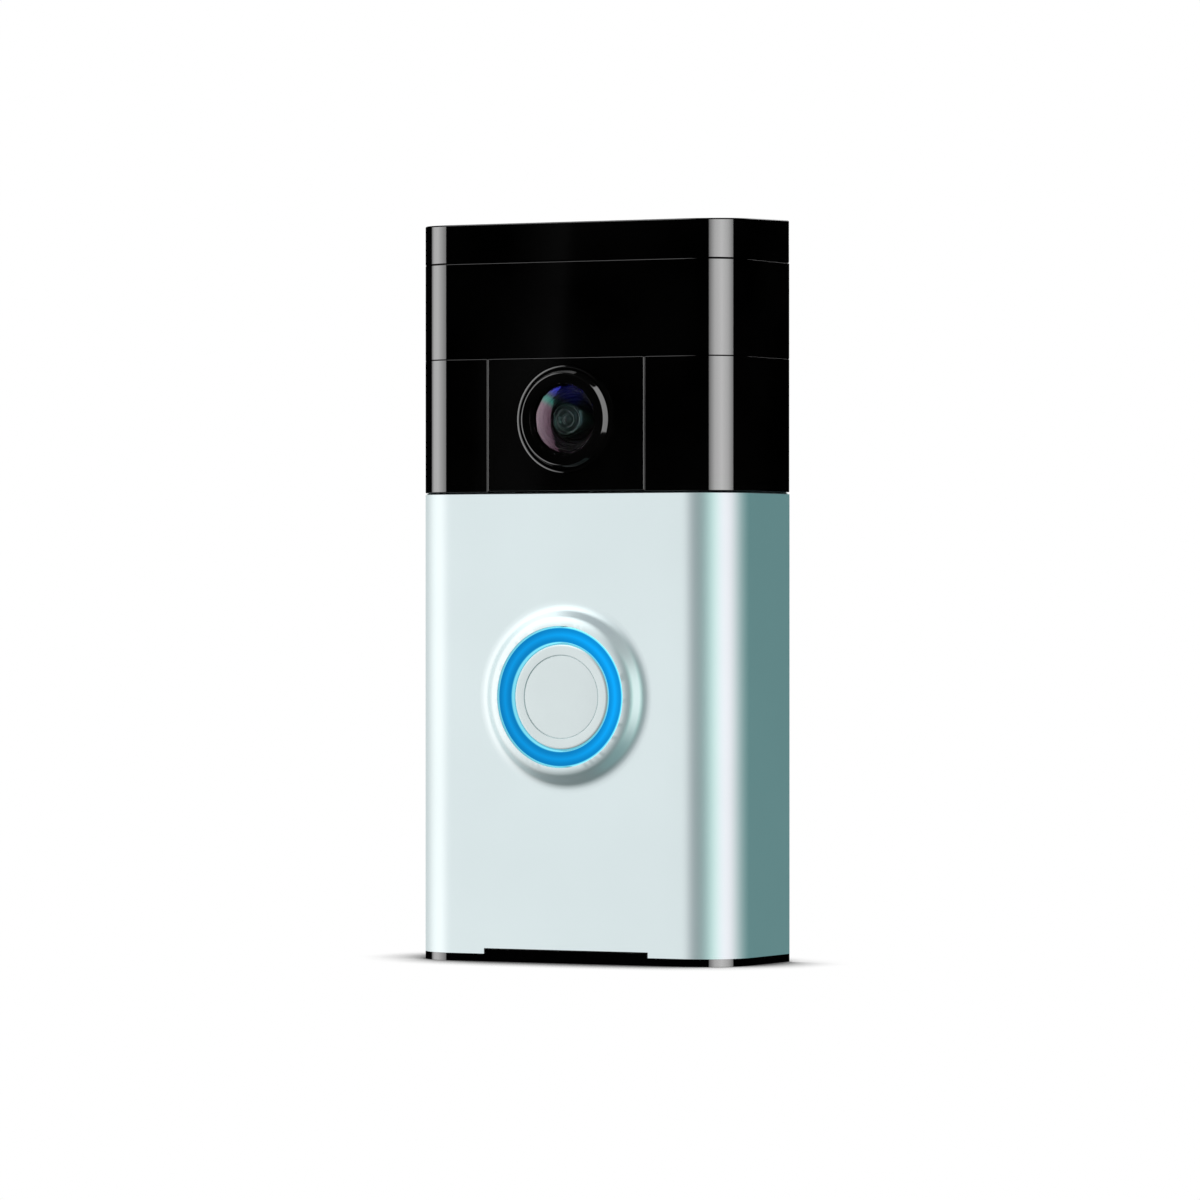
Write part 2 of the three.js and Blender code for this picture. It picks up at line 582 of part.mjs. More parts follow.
/** Flat gasket between the rear cover and the housing's ledge. */
function perimeterSeal() {
  const half = LEDGE_HALF_W + FIT / 2;
  const low = CAVITY_BOTTOM + LEDGE_W + FIT / 2;
  const high = CAVITY_TOP - LEDGE_W - FIT / 2;
  const inner = plate(roundedRect(-half, half, low, high, 0.5), COVER_IN + PAST, LEDGE - PAST);
  return cut(plate(mouthOutline(), COVER_IN, LEDGE), inner);
}

// ---------------------------------------------------------------- outer skins
/** Raised round collar around the button, part of the faceplate. */
function bezelProfile() {
  const hole = RING_R + FIT;
  const ramp = BEZEL_RAMP.map(([along, up]) => [
    BEZEL_FOOT_R - along * (BEZEL_FOOT_R - hole), FRONT - up * BEZEL_RISE,
  ]);
  return [[hole, SKIN_BACK], [BEZEL_FOOT_R, SKIN_BACK], ...ramp];
}

function frontFaceplate() {
  let body = skinBand(SILVER_BOTTOM, SILVER_TOP);
  body = cut(body, rod(RING_R + FIT + PAST, FRONT - PAST, SKIN_BACK + PAST, 0, BUTTON_Z, ROUND_LARGE));
  body = join(body, turned(bezelProfile(), ROUND_LARGE, 0, BUTTON_Z));
  const notch = block(-NOTCH_HALF_W, NOTCH_HALF_W, FRONT - PAST, SKIN_BACK + PAST,
    SILVER_BOTTOM - PAST, SILVER_BOTTOM + NOTCH_HEIGHT);
  body = cut(body, notch);
  for (const [, side] of SIDES) {
    for (const z of clipHeights()) body = join(body, clip(side, z, 0));
  }
  return body;
}

function topCap() {
  const blank = raised(bodyPlan(0, RIM), CAP_JOINT + HAIRLINE, TOP + TOP_RISE + PAST, CORNER_STEPS);
  const room = raised(bodyPlan(SKIN, RIM + PAST), CAP_JOINT - PAST, TOP - CAP_WALL);
  const slopeAt = (y) => TOP + TOP_RISE * (y - FRONT) / DEPTH;
  const sky = TOP + TOP_RISE + 2 * PAST;
  const ahead = FRONT - PAST;
  const air = [[ahead, slopeAt(ahead)], [PAST, slopeAt(PAST)], [PAST, sky], [ahead, sky]];
  return cut(blank, room, across(air, -HALF_W - PAST, HALF_W + PAST));
}

/** Lens surround: thin outer ring, cone up to a thin lip, then a seat for the cover glass. */
function lensBezelProfile() {
  const ring = FRONT - LENS_RING_RISE;
  const lip = FRONT - LENS_LIP_RISE;
  return [
    [DOME_R + HAIRLINE, HOUSING_FRONT], [LENS_RING_R, HOUSING_FRONT], [LENS_RING_R, ring],
    [LENS_RING_R - 0.35, ring], [LENS_LIP_R + 0.1, lip + 0.15], [LENS_LIP_R, lip],
    [LENS_LIP_R - LENS_LIP_W, lip], [DOME_R + HAIRLINE, lip + 0.4],
  ];
}

function domeProfile() {
  const rim = FRONT - 0.5;
  const front = [0, 0.3, 0.55, 0.78, 1].map((t) => [DOME_R * t, rim - DOME_RISE * Math.sqrt(1 - t * t)]);
  return [...front, [DOME_R, rim + DOME_T], [0, rim + DOME_T]];
}

// ---------------------------------------------------------------- camera
/** Square holder, flange against the front wall and the barrel that carries the glass. */
function lensBarrel() {
  const half = HOLDER_SIDE / 2;
  const flangeBack = CAVITY_FRONT + BARREL_FLANGE_T;
  const nose = FRONT - 0.5 + DOME_T + RUN;
  const body = join(
    rod(BARREL_FLANGE_R, CAVITY_FRONT, flangeBack, 0, 0, ROUND_MEDIUM),
    rod(BARREL_R, nose, flangeBack - PAST / 2, 0, 0, ROUND_MEDIUM),
    block(-half, half, flangeBack - PAST / 2, flangeBack + HOLDER_T, -half, half),
  );
  const bore = BARREL_R - BARREL_WALL;
  return cut(body, rod(bore, nose - PAST, flangeBack + HOLDER_T + PAST, 0, 0, ROUND_MEDIUM));
}

function lensElement() {
  const back = CAVITY_FRONT - PAST;
  const radius = BARREL_R - BARREL_WALL - RUN;
  const front = [0, 0.4, 0.7, 0.9, 1].map((t) => [radius * t, back - 0.8 - 0.9 * Math.sqrt(1 - t * t)]);
  return turned([...front, [radius, back], [0, back]], ROUND_MEDIUM);
}

function addCamera(group) {
  const camera = new THREE.Group();
  camera.position.z = LENS_Z;
  const holderBack = CAVITY_FRONT + BARREL_FLANGE_T + HOLDER_T;
  const half = CAMERA_BOARD_SIDE / 2;
  const [sensorW, sensorT, sensorH] = SENSOR_SIZE;
  add(camera, 'lens_bezel', turned(lensBezelProfile(), ROUND_LARGE), glossBlack);
  add(camera, 'lens_dome', turned(domeProfile(), ROUND_LARGE), coatedGlass);
  add(camera, 'lens_barrel', lensBarrel(), mattBlack);
  add(camera, 'lens_element', lensElement(), opticGlass);
  add(camera, 'image_sensor',
    block(-sensorW / 2, sensorW / 2, holderBack, holderBack - sensorT, -sensorH / 2, sensorH / 2), mattBlack);
  add(camera, 'camera_board', block(-half, half, holderBack, holderBack + BOARD_T, -half, half), boardGreen);
  add(camera, 'camera_connector', block(-5, 5, holderBack + BOARD_T, MAIN_FRONT, -6, -2.5), mattBlack);
  group.add(camera);
}

// ---------------------------------------------------------------- sensors and boards
function addSensors(group) {
  const half = PIR_X + PIR_R;
  const sensorNames = ['left', 'centre', 'right'];
  [-PIR_X, 0, PIR_X].forEach((x, i) => {
    const can = rod(PIR_R, HOUSING_FRONT + FIT, PIR_BOARD_FRONT);
    add(group, `pir_sensor_${sensorNames[i]}`, can, foil, [x, 0, PIR_Z]);
  });
  const high = PIR_BOARD_HEIGHT / 2;
  const pirBoard = block(-half, half, PIR_BOARD_FRONT, PIR_BOARD_FRONT + BOARD_T, -high, high);
  add(group, 'pir_board', pirBoard, boardGreen, [0, 0, PIR_Z]);
  const boardBack = CAVITY_FRONT + BOARD_T;
  for (const [name, side] of SIDES) {
    const board = block(-IR_BOARD_W / 2, IR_BOARD_W / 2, CAVITY_FRONT, boardBack,
      -IR_BOARD_HEIGHT / 2, IR_BOARD_HEIGHT / 2);
    const led = rod(IR_LED_R, CAVITY_FRONT - IR_LED_T, CAVITY_FRONT);
    add(group, `ir_board_${name}`, board, boardGreen, [side * IR_X, 0, IR_Z]);
    add(group, `ir_led_${name}`, led, opticGlass, [side * IR_X, 0, IR_Z]);
  }
}

/** Rear charging socket: a rectangular tube, open towards the wall. */
function usbPort() {
  const w = USB_WIDTH / 2;
  const h = USB_HEIGHT / 2;
  const shell = block(-w, w, COVER_OUT - RUN, MAIN_BACK, -h, h);
  const floor = MAIN_BACK + PAST;
  return cut(shell, block(-w + USB_WALL, w - USB_WALL, COVER_OUT + PAST, floor, -h + USB_WALL, h - USB_WALL));
}

function addMainBoard(group) {
  const half = CAVITY_HALF_W - 1;
  let board = toSolid(block(-half, half, MAIN_BACK, MAIN_FRONT, MAIN_LOW, MAIN_HIGH));
  for (const [, side] of SIDES) {
    for (const z of MAIN_POST_ZS) {
      board = cut(board, rod(MAIN_PIN_R + RUN, MAIN_BACK + PAST, MAIN_FRONT - PAST, side * MAIN_POST_X, z));
    }
  }
  add(group, 'main_board', board, boardGreen);
  const [shieldW, shieldT, shieldH] = SHIELD_SIZE;
  const shieldZ = MAIN_LOW + shieldH / 2 + 4;
  const shield = block(-shieldW / 2, shieldW / 2, 0, shieldT, -shieldH / 2, shieldH / 2);
  add(group, 'processor_shield', shield, foil, [0, MAIN_BACK, shieldZ]);
  add(group, 'usb_port', usbPort(), steel, [USB_X, 0, SOCKET_Z]);
  add(group, 'setup_switch', switchBody(SETUP_SWITCH_SIDE, SETUP_SWITCH_T, SETUP_PLUNGER_R, 1), mattBlack,
    [SETUP_X, MAIN_BACK, SOCKET_Z]);
}

function addPowerAndSound(group) {
  const [speakerW, speakerT, speakerH] = SPEAKER_SIZE;
  const y = speakerCentreY();
  add(group, 'battery_cell', block(-BATTERY_HALF_W, BATTERY_HALF_W, BATTERY_BACK, BATTERY_FRONT,
    BATTERY_LOW, BATTERY_HIGH), foil);
  const padHalf = BATTERY_HALF_W - 5;
  const pad = block(-padHalf, padHalf, COVER_IN, BATTERY_BACK, BATTERY_LOW + 5, BATTERY_HIGH - 5);
  add(group, 'battery_pad', pad, rubber);
  const basketTop = speakerH - MAGNET_T;
  const basket = block(-speakerW / 2, speakerW / 2, -speakerT / 2, speakerT / 2, 0, basketTop);
  const magnet = post(speakerT * 0.4, basketTop - PAST, speakerH, 0, 0).scale(2, 1, 1);
  add(group, 'speaker_driver', join(basket, magnet), mattBlack, [0, y, SPEAKER_LOW]);
  const frame = cut(
    block(-speakerW / 2, speakerW / 2, -speakerT / 2, speakerT / 2, 0, GASKET_T),
    block(-speakerW / 2 + GASKET_FRAME, speakerW / 2 - GASKET_FRAME,
      -speakerT / 2 + GASKET_FRAME - FIT, speakerT / 2 - GASKET_FRAME + FIT, -PAST, GASKET_T + PAST),
  );
  add(group, 'speaker_gasket', frame, rubber, [0, y, CAVITY_BOTTOM]);
  const [micW, micD, micH] = MIC_SIZE;
  const microphone = block(-micW / 2, micW / 2, -micD / 2, micD / 2, 0, micH);
  add(group, 'microphone', microphone, steel, [MIC_X, y, CAVITY_BOTTOM]);
}

/** Depth of the speaker's middle: in line with the battery, clear of the ledge. */
function speakerCentreY() {
  return LEDGE - LEDGE_T - RUN - SPEAKER_SIZE[1] / 2;
}

// ---------------------------------------------------------------- front button
const ringLedPlaces = () => Array.from({ length: RING_LED_COUNT }, (_, i) => {
  const angle = (Math.PI * 2 * (i + 0.5)) / RING_LED_COUNT;
  return [RING_LED_PITCH_R * Math.cos(angle), RING_LED_PITCH_R * Math.sin(angle)];
});

function lightRingProfile() {
  const crest = CREST + 0.04;
  const lipBack = capFlangeFront() - RUN;
  return [
    [RING_R, HOUSING_FRONT], [RING_R, crest + 0.3], [RING_R - 0.5, crest], [RING_IN_R + 0.5, crest],
    [RING_IN_R, crest + 0.3], [RING_IN_R, lipBack],
    [CAP_FLANGE_R + RUN, lipBack], [CAP_FLANGE_R + RUN, HOUSING_FRONT],
  ];
}

const capFoot = () => HOUSING_FRONT - BUTTON_TRAVEL - BUTTON_STOP;
const capFlangeFront = () => capFoot() - 0.65;

function buttonCapProfile() {
  const grooveIn = CAP_GROOVE_R - CAP_GROOVE_W / 2;
  const grooveOut = CAP_GROOVE_R + CAP_GROOVE_W / 2;
  const foot = capFoot();
  const flange = capFlangeFront();
  const ceiling = foot - 1.05;
  return [
    [0, CAP_FACE + 0.15], [grooveIn, CAP_FACE + 0.12],
    [grooveIn, CAP_FACE + 0.35], [grooveOut, CAP_FACE + 0.35],
    [grooveOut, CAP_FACE + 0.08], [CAP_R - 0.4, CAP_FACE], [CAP_R, CAP_FACE + 0.25], [CAP_R, flange],
    [CAP_FLANGE_R, flange], [CAP_FLANGE_R, foot], [CAP_R - CAP_SKIRT_T, foot], [CAP_R - CAP_SKIRT_T, ceiling],
    [STEM_R, ceiling], [STEM_R, CAVITY_FRONT - FIT], [0, CAVITY_FRONT - FIT],
  ];
}

/** Push switch with its back at Y = 0 and its plunger's bore facing the given way along Y. */
function switchBody(side, thickness, plungerR, facing) {
  const half = side / 2;
  const bore = rod(plungerR + RUN, facing * SWITCH_FLOOR, facing * (thickness + PAST));
  return cut(block(-half, half, 0, facing * thickness, -half, half), bore);
}

/** Plunger of a push switch, in the same frame as the switch's body. */
function switchPlunger(thickness, plungerR, standing, facing) {
  return rod(plungerR, facing * (SWITCH_FLOOR + SWITCH_GIVE), facing * (thickness + standing));
}

/** Flat cable from the button board up to the main board. */
function buttonFlex() {
  const t = 0.3;
  const boardEdge = BUTTON_Z + BUTTON_BOARD_R;
  const start = BUTTON_BOARD_FRONT;
  const low = boardEdge - 3;
  const high = MAIN_LOW - 1.2;
  return across([
    [start, low], [start, high], [MAIN_FRONT, MAIN_LOW + 0.6], [MAIN_FRONT, MAIN_LOW + 3],
    [MAIN_FRONT - t, MAIN_LOW + 3], [MAIN_FRONT - t, MAIN_LOW + 0.8],
    [start - t, high + 0.2], [start - t, low],
  ], -3, 3);
}

function addButton(group) {
  const button = new THREE.Group();
  button.position.z = BUTTON_Z;
  add(button, 'button_cap', turned(buttonCapProfile(), ROUND_LARGE), satinSilver);
  add(button, 'light_ring', turned(lightRingProfile(), ROUND_LARGE), clearBlue);
  const boot = [[STEM_R + RUN, HOUSING_FRONT], [BOOT_R, HOUSING_FRONT], [BOOT_R, HOUSING_FRONT - BOOT_T],
    [STEM_R + RUN, HOUSING_FRONT - BOOT_T]];
  add(button, 'button_boot', turned(boot, ROUND_MEDIUM), rubber);
  const boardBack = BUTTON_BOARD_FRONT + BUTTON_BOARD_T;
  const board = rod(BUTTON_BOARD_R, BUTTON_BOARD_FRONT, boardBack, 0, 0, ROUND_LARGE);
  add(button, 'button_board', board, boardGreen);
  const seat = [0, BUTTON_BOARD_FRONT, 0];
  add(button, 'button_switch', switchBody(SWITCH_SIDE, SWITCH_T, PLUNGER_R, -1), mattBlack, seat);
  add(button, 'button_plunger', switchPlunger(SWITCH_T, PLUNGER_R, PLUNGER_T, -1), orange, seat);
  ringLedPlaces().forEach(([x, z], i) => {
    const half = RING_LED_SIDE / 2;
    const led = block(-half, half, BUTTON_BOARD_FRONT, BUTTON_BOARD_FRONT - RING_LED_T, -half, half);
    add(button, `ring_led_${i + 1}`, led, opticGlass, [x, 0, z]);
  });
  group.add(button);
  add(group, 'button_flex', buttonFlex(), amber);
}

// ---------------------------------------------------------------- rear setup button, pads and screws
function addSetupButton(group) {
  const setup = new THREE.Group();
  setup.position.set(SETUP_X, 0, SOCKET_Z);
  const flangeBack = COVER_IN - FIT;
  const plungerTip = MAIN_BACK + SETUP_SWITCH_T + SETUP_PLUNGER_T;
  const head = rod(SETUP_R, COVER_OUT - RUN, flangeBack - PAST / 4);
  const cap = join(head, rod(SETUP_FLANGE_R, flangeBack, plungerTip + RUN));
  add(setup, 'setup_button', cap, orange);
  add(setup, 'setup_plunger', switchPlunger(SETUP_SWITCH_T, SETUP_PLUNGER_R, SETUP_PLUNGER_T, 1), mattBlack,
    [0, MAIN_BACK, 0]);
  group.add(setup);
}

function addRearPads(group) {
  const high = TERMINAL_Z - 1;
  const low = TERMINAL_Z - SPRING_DROP - SLIDE - 2;
  for (const [name, side] of SIDES) {
    const pad = block(-PAD_W / 2, PAD_W / 2, COVER_OUT, COVER_OUT + PAD_T, low, high);
    add(group, `contact_pad_${name}`, pad, gold, [side * TERMINAL_X, 0, 0]);
  }
}

function addScrews(group) {
  bossPlaces().forEach(([x, z], i) => {
    const screw = screwIntoFront(COVER_HEAD_R, COVER_HEAD_T, COVER_SCREW_R, COVER_SCREW_LENGTH);
    add(group, `cover_screw_${i + 1}`, screw, steel, [x, COVER_OUT - COVER_HEAD_T, z]);
  });
  for (const [name, side] of SIDES) {
    const seat = BOTTOM + SECURITY_SINK;
    const screw = join(
      post(SECURITY_HEAD_R, seat - SECURITY_HEAD_T, seat, 0, 0),
      post(SECURITY_R, seat - PAST / 10, seat + SECURITY_LENGTH, 0, 0),
    );
    const headFace = seat - SECURITY_HEAD_T;
    const socket = post(SECURITY_HEAD_R / 2, headFace - PAST, headFace + SECURITY_HEAD_T / 2, 0, 0, 6);
    add(group, `security_screw_${name}`, cut(screw, socket), steel, [side * LUG_X, SECURITY_Y, 0]);
  }
}

// ---------------------------------------------------------------- assembly
function addShells(group) {
  const joint = HAIRLINE / 2;
  const cameraBand = skinBand(SILVER_TOP + HAIRLINE, OPEN_JOINT - SEAM / 2);
  const middle = block(-PANEL_HALF_W + joint, PANEL_HALF_W - joint, FRONT - PAST, 0, SILVER_TOP, OPEN_JOINT);
  const lensHole = rod(LENS_RING_R + HAIRLINE, FRONT - PAST, SKIN_BACK + PAST, 0, LENS_Z, ROUND_LARGE);
  add(group, 'front_housing', frontHousing(), mattBlack);
  add(group, 'rear_cover', rearCover(), mattBlack);
  add(group, 'perimeter_seal', perimeterSeal(), rubber);
  add(group, 'front_faceplate', frontFaceplate(), satinSilver);
  add(group, 'top_cap', topCap(), glossBlack);
  add(group, 'pir_window', skinBand(OPEN_JOINT + SEAM / 2, CAP_JOINT), glossBlack);
  add(group, 'camera_panel', cut(common(cameraBand, middle), lensHole), glossBlack);
  for (const [name, side] of SIDES) {
    const outer = block(side * (PANEL_HALF_W + joint), side * (HALF_W + PAST),
      FRONT - PAST, PAST, SILVER_TOP, OPEN_JOINT);
    add(group, `ir_window_${name}`, common(cameraBand, outer), glossBlack);
  }
}

function makeUnit() {
  const group = new THREE.Group();
  addShells(group);
  addCamera(group);
  addSensors(group);
  addMainBoard(group);
  addPowerAndSound(group);
  addButton(group);
  addSetupButton(group);
  addRearPads(group);
  addScrews(group);
  return group;
}

const doorbell = new THREE.Group();
doorbell.add(makeBracket(), makeUnit());

export default doorbell;
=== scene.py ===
"""Looks of a video doorbell: gloss black sensor head, satin silver faceplate, lit ring and wall bracket.

Sizes are in millimetres until a piece is finished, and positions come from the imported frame's boxes.
"""
import logging
import math
from collections.abc import Callable, Iterable
from dataclasses import dataclass, field
from enum import Enum
from functools import partial
from typing import Any, ClassVar

import bmesh
import bpy
from mathutils import Matrix, Quaternion, Vector
from mathutils.geometry import interpolate_bezier


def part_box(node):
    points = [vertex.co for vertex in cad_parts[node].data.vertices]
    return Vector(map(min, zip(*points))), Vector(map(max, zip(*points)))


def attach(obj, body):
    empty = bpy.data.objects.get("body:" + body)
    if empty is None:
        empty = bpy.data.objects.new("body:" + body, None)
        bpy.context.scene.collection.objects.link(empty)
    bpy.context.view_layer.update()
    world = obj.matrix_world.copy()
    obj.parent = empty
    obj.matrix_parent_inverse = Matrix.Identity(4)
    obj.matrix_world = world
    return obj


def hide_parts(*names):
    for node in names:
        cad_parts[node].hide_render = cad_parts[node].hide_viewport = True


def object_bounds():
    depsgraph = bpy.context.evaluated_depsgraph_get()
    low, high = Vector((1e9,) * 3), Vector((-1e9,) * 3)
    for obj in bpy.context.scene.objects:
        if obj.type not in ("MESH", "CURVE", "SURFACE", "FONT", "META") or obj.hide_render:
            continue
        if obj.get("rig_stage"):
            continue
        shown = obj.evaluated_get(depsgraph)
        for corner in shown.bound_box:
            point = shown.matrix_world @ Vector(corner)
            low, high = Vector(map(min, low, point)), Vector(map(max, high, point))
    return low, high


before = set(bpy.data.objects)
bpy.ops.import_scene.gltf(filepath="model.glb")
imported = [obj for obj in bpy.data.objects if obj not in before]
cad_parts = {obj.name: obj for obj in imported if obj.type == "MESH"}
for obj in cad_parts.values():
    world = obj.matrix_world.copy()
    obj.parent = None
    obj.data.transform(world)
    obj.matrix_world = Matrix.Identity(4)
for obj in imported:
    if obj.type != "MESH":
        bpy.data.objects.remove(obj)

LOG = logging.getLogger("doorbell")
MM = 0.001
CAD_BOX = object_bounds()
# Edges round a full turn, along an eased corner, along half a dome and across a rounded edge.
ROUND_STEPS, EASE_STEPS, ARC_STEPS, BEVEL_STEPS = 128, 7, 10, 3
# Curve handles as a share of their corner, and the most of a side that easing may take.
ARC_HANDLE, MOST_EASED = 0.56, 0.49
# Millimetres within which points count as level, and as on a cut; and the least normal of a flat front.
NEAR, CUT_GAP, FLAT = 0.01, 0.0001, 0.9
# Millimetres within which a turned seam's points, and a copied node's, become one; and a flat face's bend.
SEAM, LOOSE, FLUSH = 0.0005, 0.001, math.radians(1)
ACROSS, UP = (1, 0, 0), (0, 0, 1)

BMesh, Edge, Vert = bmesh.types.BMesh, bmesh.types.BMEdge, bmesh.types.BMVert
Node = bpy.types.Node
Corner = tuple[float, float, float]
Stop = tuple[float, Any]
Level = tuple[float, float, float, float]


class Body(Enum):
    """Bodies of the frame that pieces ride on."""

    BRACKET = "bracket"
    DOORBELL = "doorbell"
    FRONT_BUTTON = "front_button"


class Receivers(Enum):
    """Which finishes a studio light falls on."""

    METALS = "metal_receivers"
    GLOSSES = "gloss_receivers"
    LENSES = "lens_receivers"
    MATTS = "matt_receivers"


# ---- colours and nodes
def srgb(code: str) -> tuple[float, float, float, float]:
    """Turns an sRGB hex colour to linear values.

    Args:
        code: Six hex digits, such as "d9e6e8".

    Returns:
        Linear red, green and blue, and full alpha.
    """
    parts = [int(code[i : i + 2], 16) / 255 for i in (0, 2, 4)]
    lin = [c / 12.92 if c <= 0.04045 else ((c + 0.055) / 1.055) ** 2.4 for c in parts]
    return (lin[0], lin[1], lin[2], 1.0)


def add_node(tree: bpy.types.NodeTree, kind: str, settings: dict[str, Any] | None = None,
             **inputs: Any) -> Node:
    """Adds a node, sets its properties, and sets or links its inputs.

    Args:
        tree: Node tree that takes the node.
        kind: The node's type without its "ShaderNode" prefix, and its operation after a space if it has one.
        settings: Other properties; "stops" holds the place and colour (or grey level) of each stop of a ramp.
        inputs: Value, socket or node for each input, by its name in lower case or by its place, as i0 or i1.

    Returns:
        The new node.
    """
    kind, *operation = kind.split()
    node = tree.nodes.new(f"ShaderNode{kind}")
    if operation:
        node.operation = operation[0]
    settings = dict(settings or {})
    stops = settings.pop("stops", [])
    for _ in stops[2:]:
        node.color_ramp.elements.new(0.5)
    for element, (place, colour) in zip(node.color_ramp.elements if stops else [], stops):
        element.position = place
        if isinstance(colour, str):
            colour = srgb(colour)
        element.color = colour if isinstance(colour, tuple) else (colour, colour, colour, 1.0)
    for name, value in settings.items():
        setattr(node, name, value)
    by_name = {s.name.lower().replace(" ", "_"): s for s in reversed(node.inputs) if s.enabled}
    for name, value in inputs.items():
        place = name[1:]
        socket = node.inputs[int(place)] if name[0] == "i" and place.isdigit() else by_name[name]
        if isinstance(value, Node):
            value = next(s for s in value.outputs if s.enabled)
        if isinstance(value, bpy.types.NodeSocket):
            tree.links.new(value, socket)
        else:
            socket.default_value = value
    return node


def new_material(name: str) -> tuple[bpy.types.Material, bpy.types.NodeTree]:
    """Makes an empty node material.

    Args:
        name: Name of the finish.

    Returns:
        The material and its emptied node tree.
    """
    made = bpy.data.materials.new(name)
    made.use_nodes = True
    made.node_tree.nodes.clear()
    return made, made.node_tree


def place_mm(tree: bpy.types.NodeTree) -> Node:
    """Gives the object coordinates in millimetres."""
    here = add_node(tree, "TexCoord").outputs["Object"]
    return add_node(tree, "VectorMath SCALE", vector=here, scale=1 / MM)


# ---- finishes
@dataclass(frozen=True)
class Finish:
    """A surface finish with fine grain: two tones, uneven roughness and a little relief.

    grain_mm is the size of the grain's cells, relief_mm how far they stand out, and clouds_mm the size of the
    patches of the second tone.
    """

    name: str
    tone: str
    second: str
    roughness: float = 0.5
    uneven: float = 0.05
    metallic: float = 0.0
    ior: float = 1.5
    grain_mm: float = 0.3
    relief_mm: float = 0.005
    clouds_mm: float = 12.0
    coat: float = 0.0
    coat_roughness: float = 0.08
    transmission: float = 0.0
    specular: float = 0.5
    receivers: Receivers = Receivers.MATTS
    _made: ClassVar[dict[str, bpy.types.Material]] = {}
    lit_by: ClassVar[dict[str, Receivers]] = {}

    def tones(self, add: Callable[..., Node], here: Node) -> Node:
        """Clouds the first tone with the second, over object coordinates in millimetres."""
        clouds = add("TexNoise", vector=here, scale=1 / self.clouds_mm, detail=3.0)
        return add("ValToRGB", {"stops": [(0.3, self.tone), (0.7, self.second)]}, fac=clouds)

    def dress(self, add: Callable[..., Node], here: Node, shader: Node) -> None:
        """Adds what a special finish has; a plain one has nothing more."""

    def material(self) -> bpy.types.Material:
        """Builds the node material once, and gives the same one afterwards.

        Returns:
            The finish's material.
        """
        if self.name in self._made:
            return self._made[self.name]
        made, tree = new_material(self.name)
        add = partial(add_node, tree)
        here = place_mm(tree)
        grain = add("TexNoise", vector=here, scale=1 / self.grain_mm, detail=2.0)
        rough = add("Math MULTIPLY_ADD", i0=grain, i1=2 * self.uneven,
                    i2=self.roughness - self.uneven)
        bump = add("Bump", strength=1.0, distance=self.relief_mm * MM, height=grain)
        shader = add("BsdfPrincipled", base_color=self.tones(add, here), metallic=self.metallic,
                     roughness=rough, normal=bump, coat_weight=self.coat,
                     coat_roughness=self.coat_roughness, transmission_weight=self.transmission)
        if not self.metallic:
            shader.inputs["IOR"].default_value = self.ior
            shader.inputs["Specular IOR Level"].default_value = self.specular
        self.dress(add, here, shader)
        add("OutputMaterial", surface=shader)
        self._made[self.name] = made
        self.lit_by[self.name] = Receivers.METALS if self.metallic > 0.5 else self.receivers
        return made


@dataclass(frozen=True)
class LightGuide(Finish):
    """Frosted clear plastic lit from behind: deep blue along its middle, paler at its two thin edges."""

    centre: Corner = (0.0, 0.0, 0.0)
    inner: float = 9.3
    outer: float = 11.9
    glow: float = 1.15

    def dress(self, add: Callable[..., Node], here: Node, shader: Node) -> None:
        """Lights the ring by distance from the button's axis, and a little more towards upper right.

        Args:
            add: Adds a node to the material.
            here: Object coordinates in millimetres.
            shader: The surface shader that glows.
        """
        offset = add("VectorMath SUBTRACT", i0=here, i1=Vector(self.centre))
        flat = add("VectorMath MULTIPLY", i0=offset, i1=(1, 0, 1))
        radius = add("VectorMath LENGTH", i0=flat)
        across = add("MapRange", value=radius, i1=self.inner, i2=self.outer)
        bands = [(0.0, "88eaff"), (0.02, "48ccf0"), (0.06, "0082c6"), (0.2, "0086cc"), (0.5, "02a0ee"),
                 (0.8, "0086cc"), (0.92, "0082c6"), (0.965, "58dcfa"), (1.0, "98f0ff")]
        blue = add("ValToRGB", {"stops": bands}, fac=across)
        side = add("VectorMath DOT_PRODUCT", i0=offset, i1=Vector((0.94, 0, 0.34)) * 0.5 / self.outer)
        share = add("Math ADD", i0=side, i1=0.5)
        gain = add("ValToRGB", {"stops": [(0.0, 0.72), (0.45, 0.78), (0.9, 1.0)]}, fac=share)
        lit = add("Mix", {"data_type": "RGBA", "blend_type": "MULTIPLY"}, i0=1.0, i6=blue, i7=gain)
        shader.id_data.links.new(lit.outputs["Result"], shader.inputs["Emission Color"])
        shader.inputs["Emission Strength"].default_value = self.glow


@dataclass(frozen=True)
class CoatedGlass(Finish):
    """Clear optical glass whose anti-reflection coating tints what it mirrors."""

    centre: Corner = (0.0, 0.0, 0.0)
    reach: float = 6.0
    lean: float = 0.45
    tints: tuple[tuple[float, str], ...] = (
        (0.0, "5f3452"), (0.58, "825a72"), (0.68, "10b09a"), (0.76, "06184a"), (0.9, "0420ff"),
        (1.0, "0210f0"))

    def dress(self, add: Callable[..., Node], here: Node, shader: Node) -> None:
        """Turns the coating's tint over the face of the glass.

        Args:
            add: Adds a node to the material.
            here: Object coordinates in millimetres.
            shader: The surface shader that takes the tint.
        """
        offset = add("VectorMath SUBTRACT", i0=here, i1=Vector(self.centre))
        slant = add("VectorMath DOT_PRODUCT", i0=offset, i1=Vector((self.lean, 0, 1)) * 0.5 / self.reach)
        share = add("Math ADD", i0=slant, i1=0.5)
        tint = add("ValToRGB", {"stops": self.tints}, fac=share)
        shader.id_data.links.new(tint.outputs[0], shader.inputs["Specular Tint"])


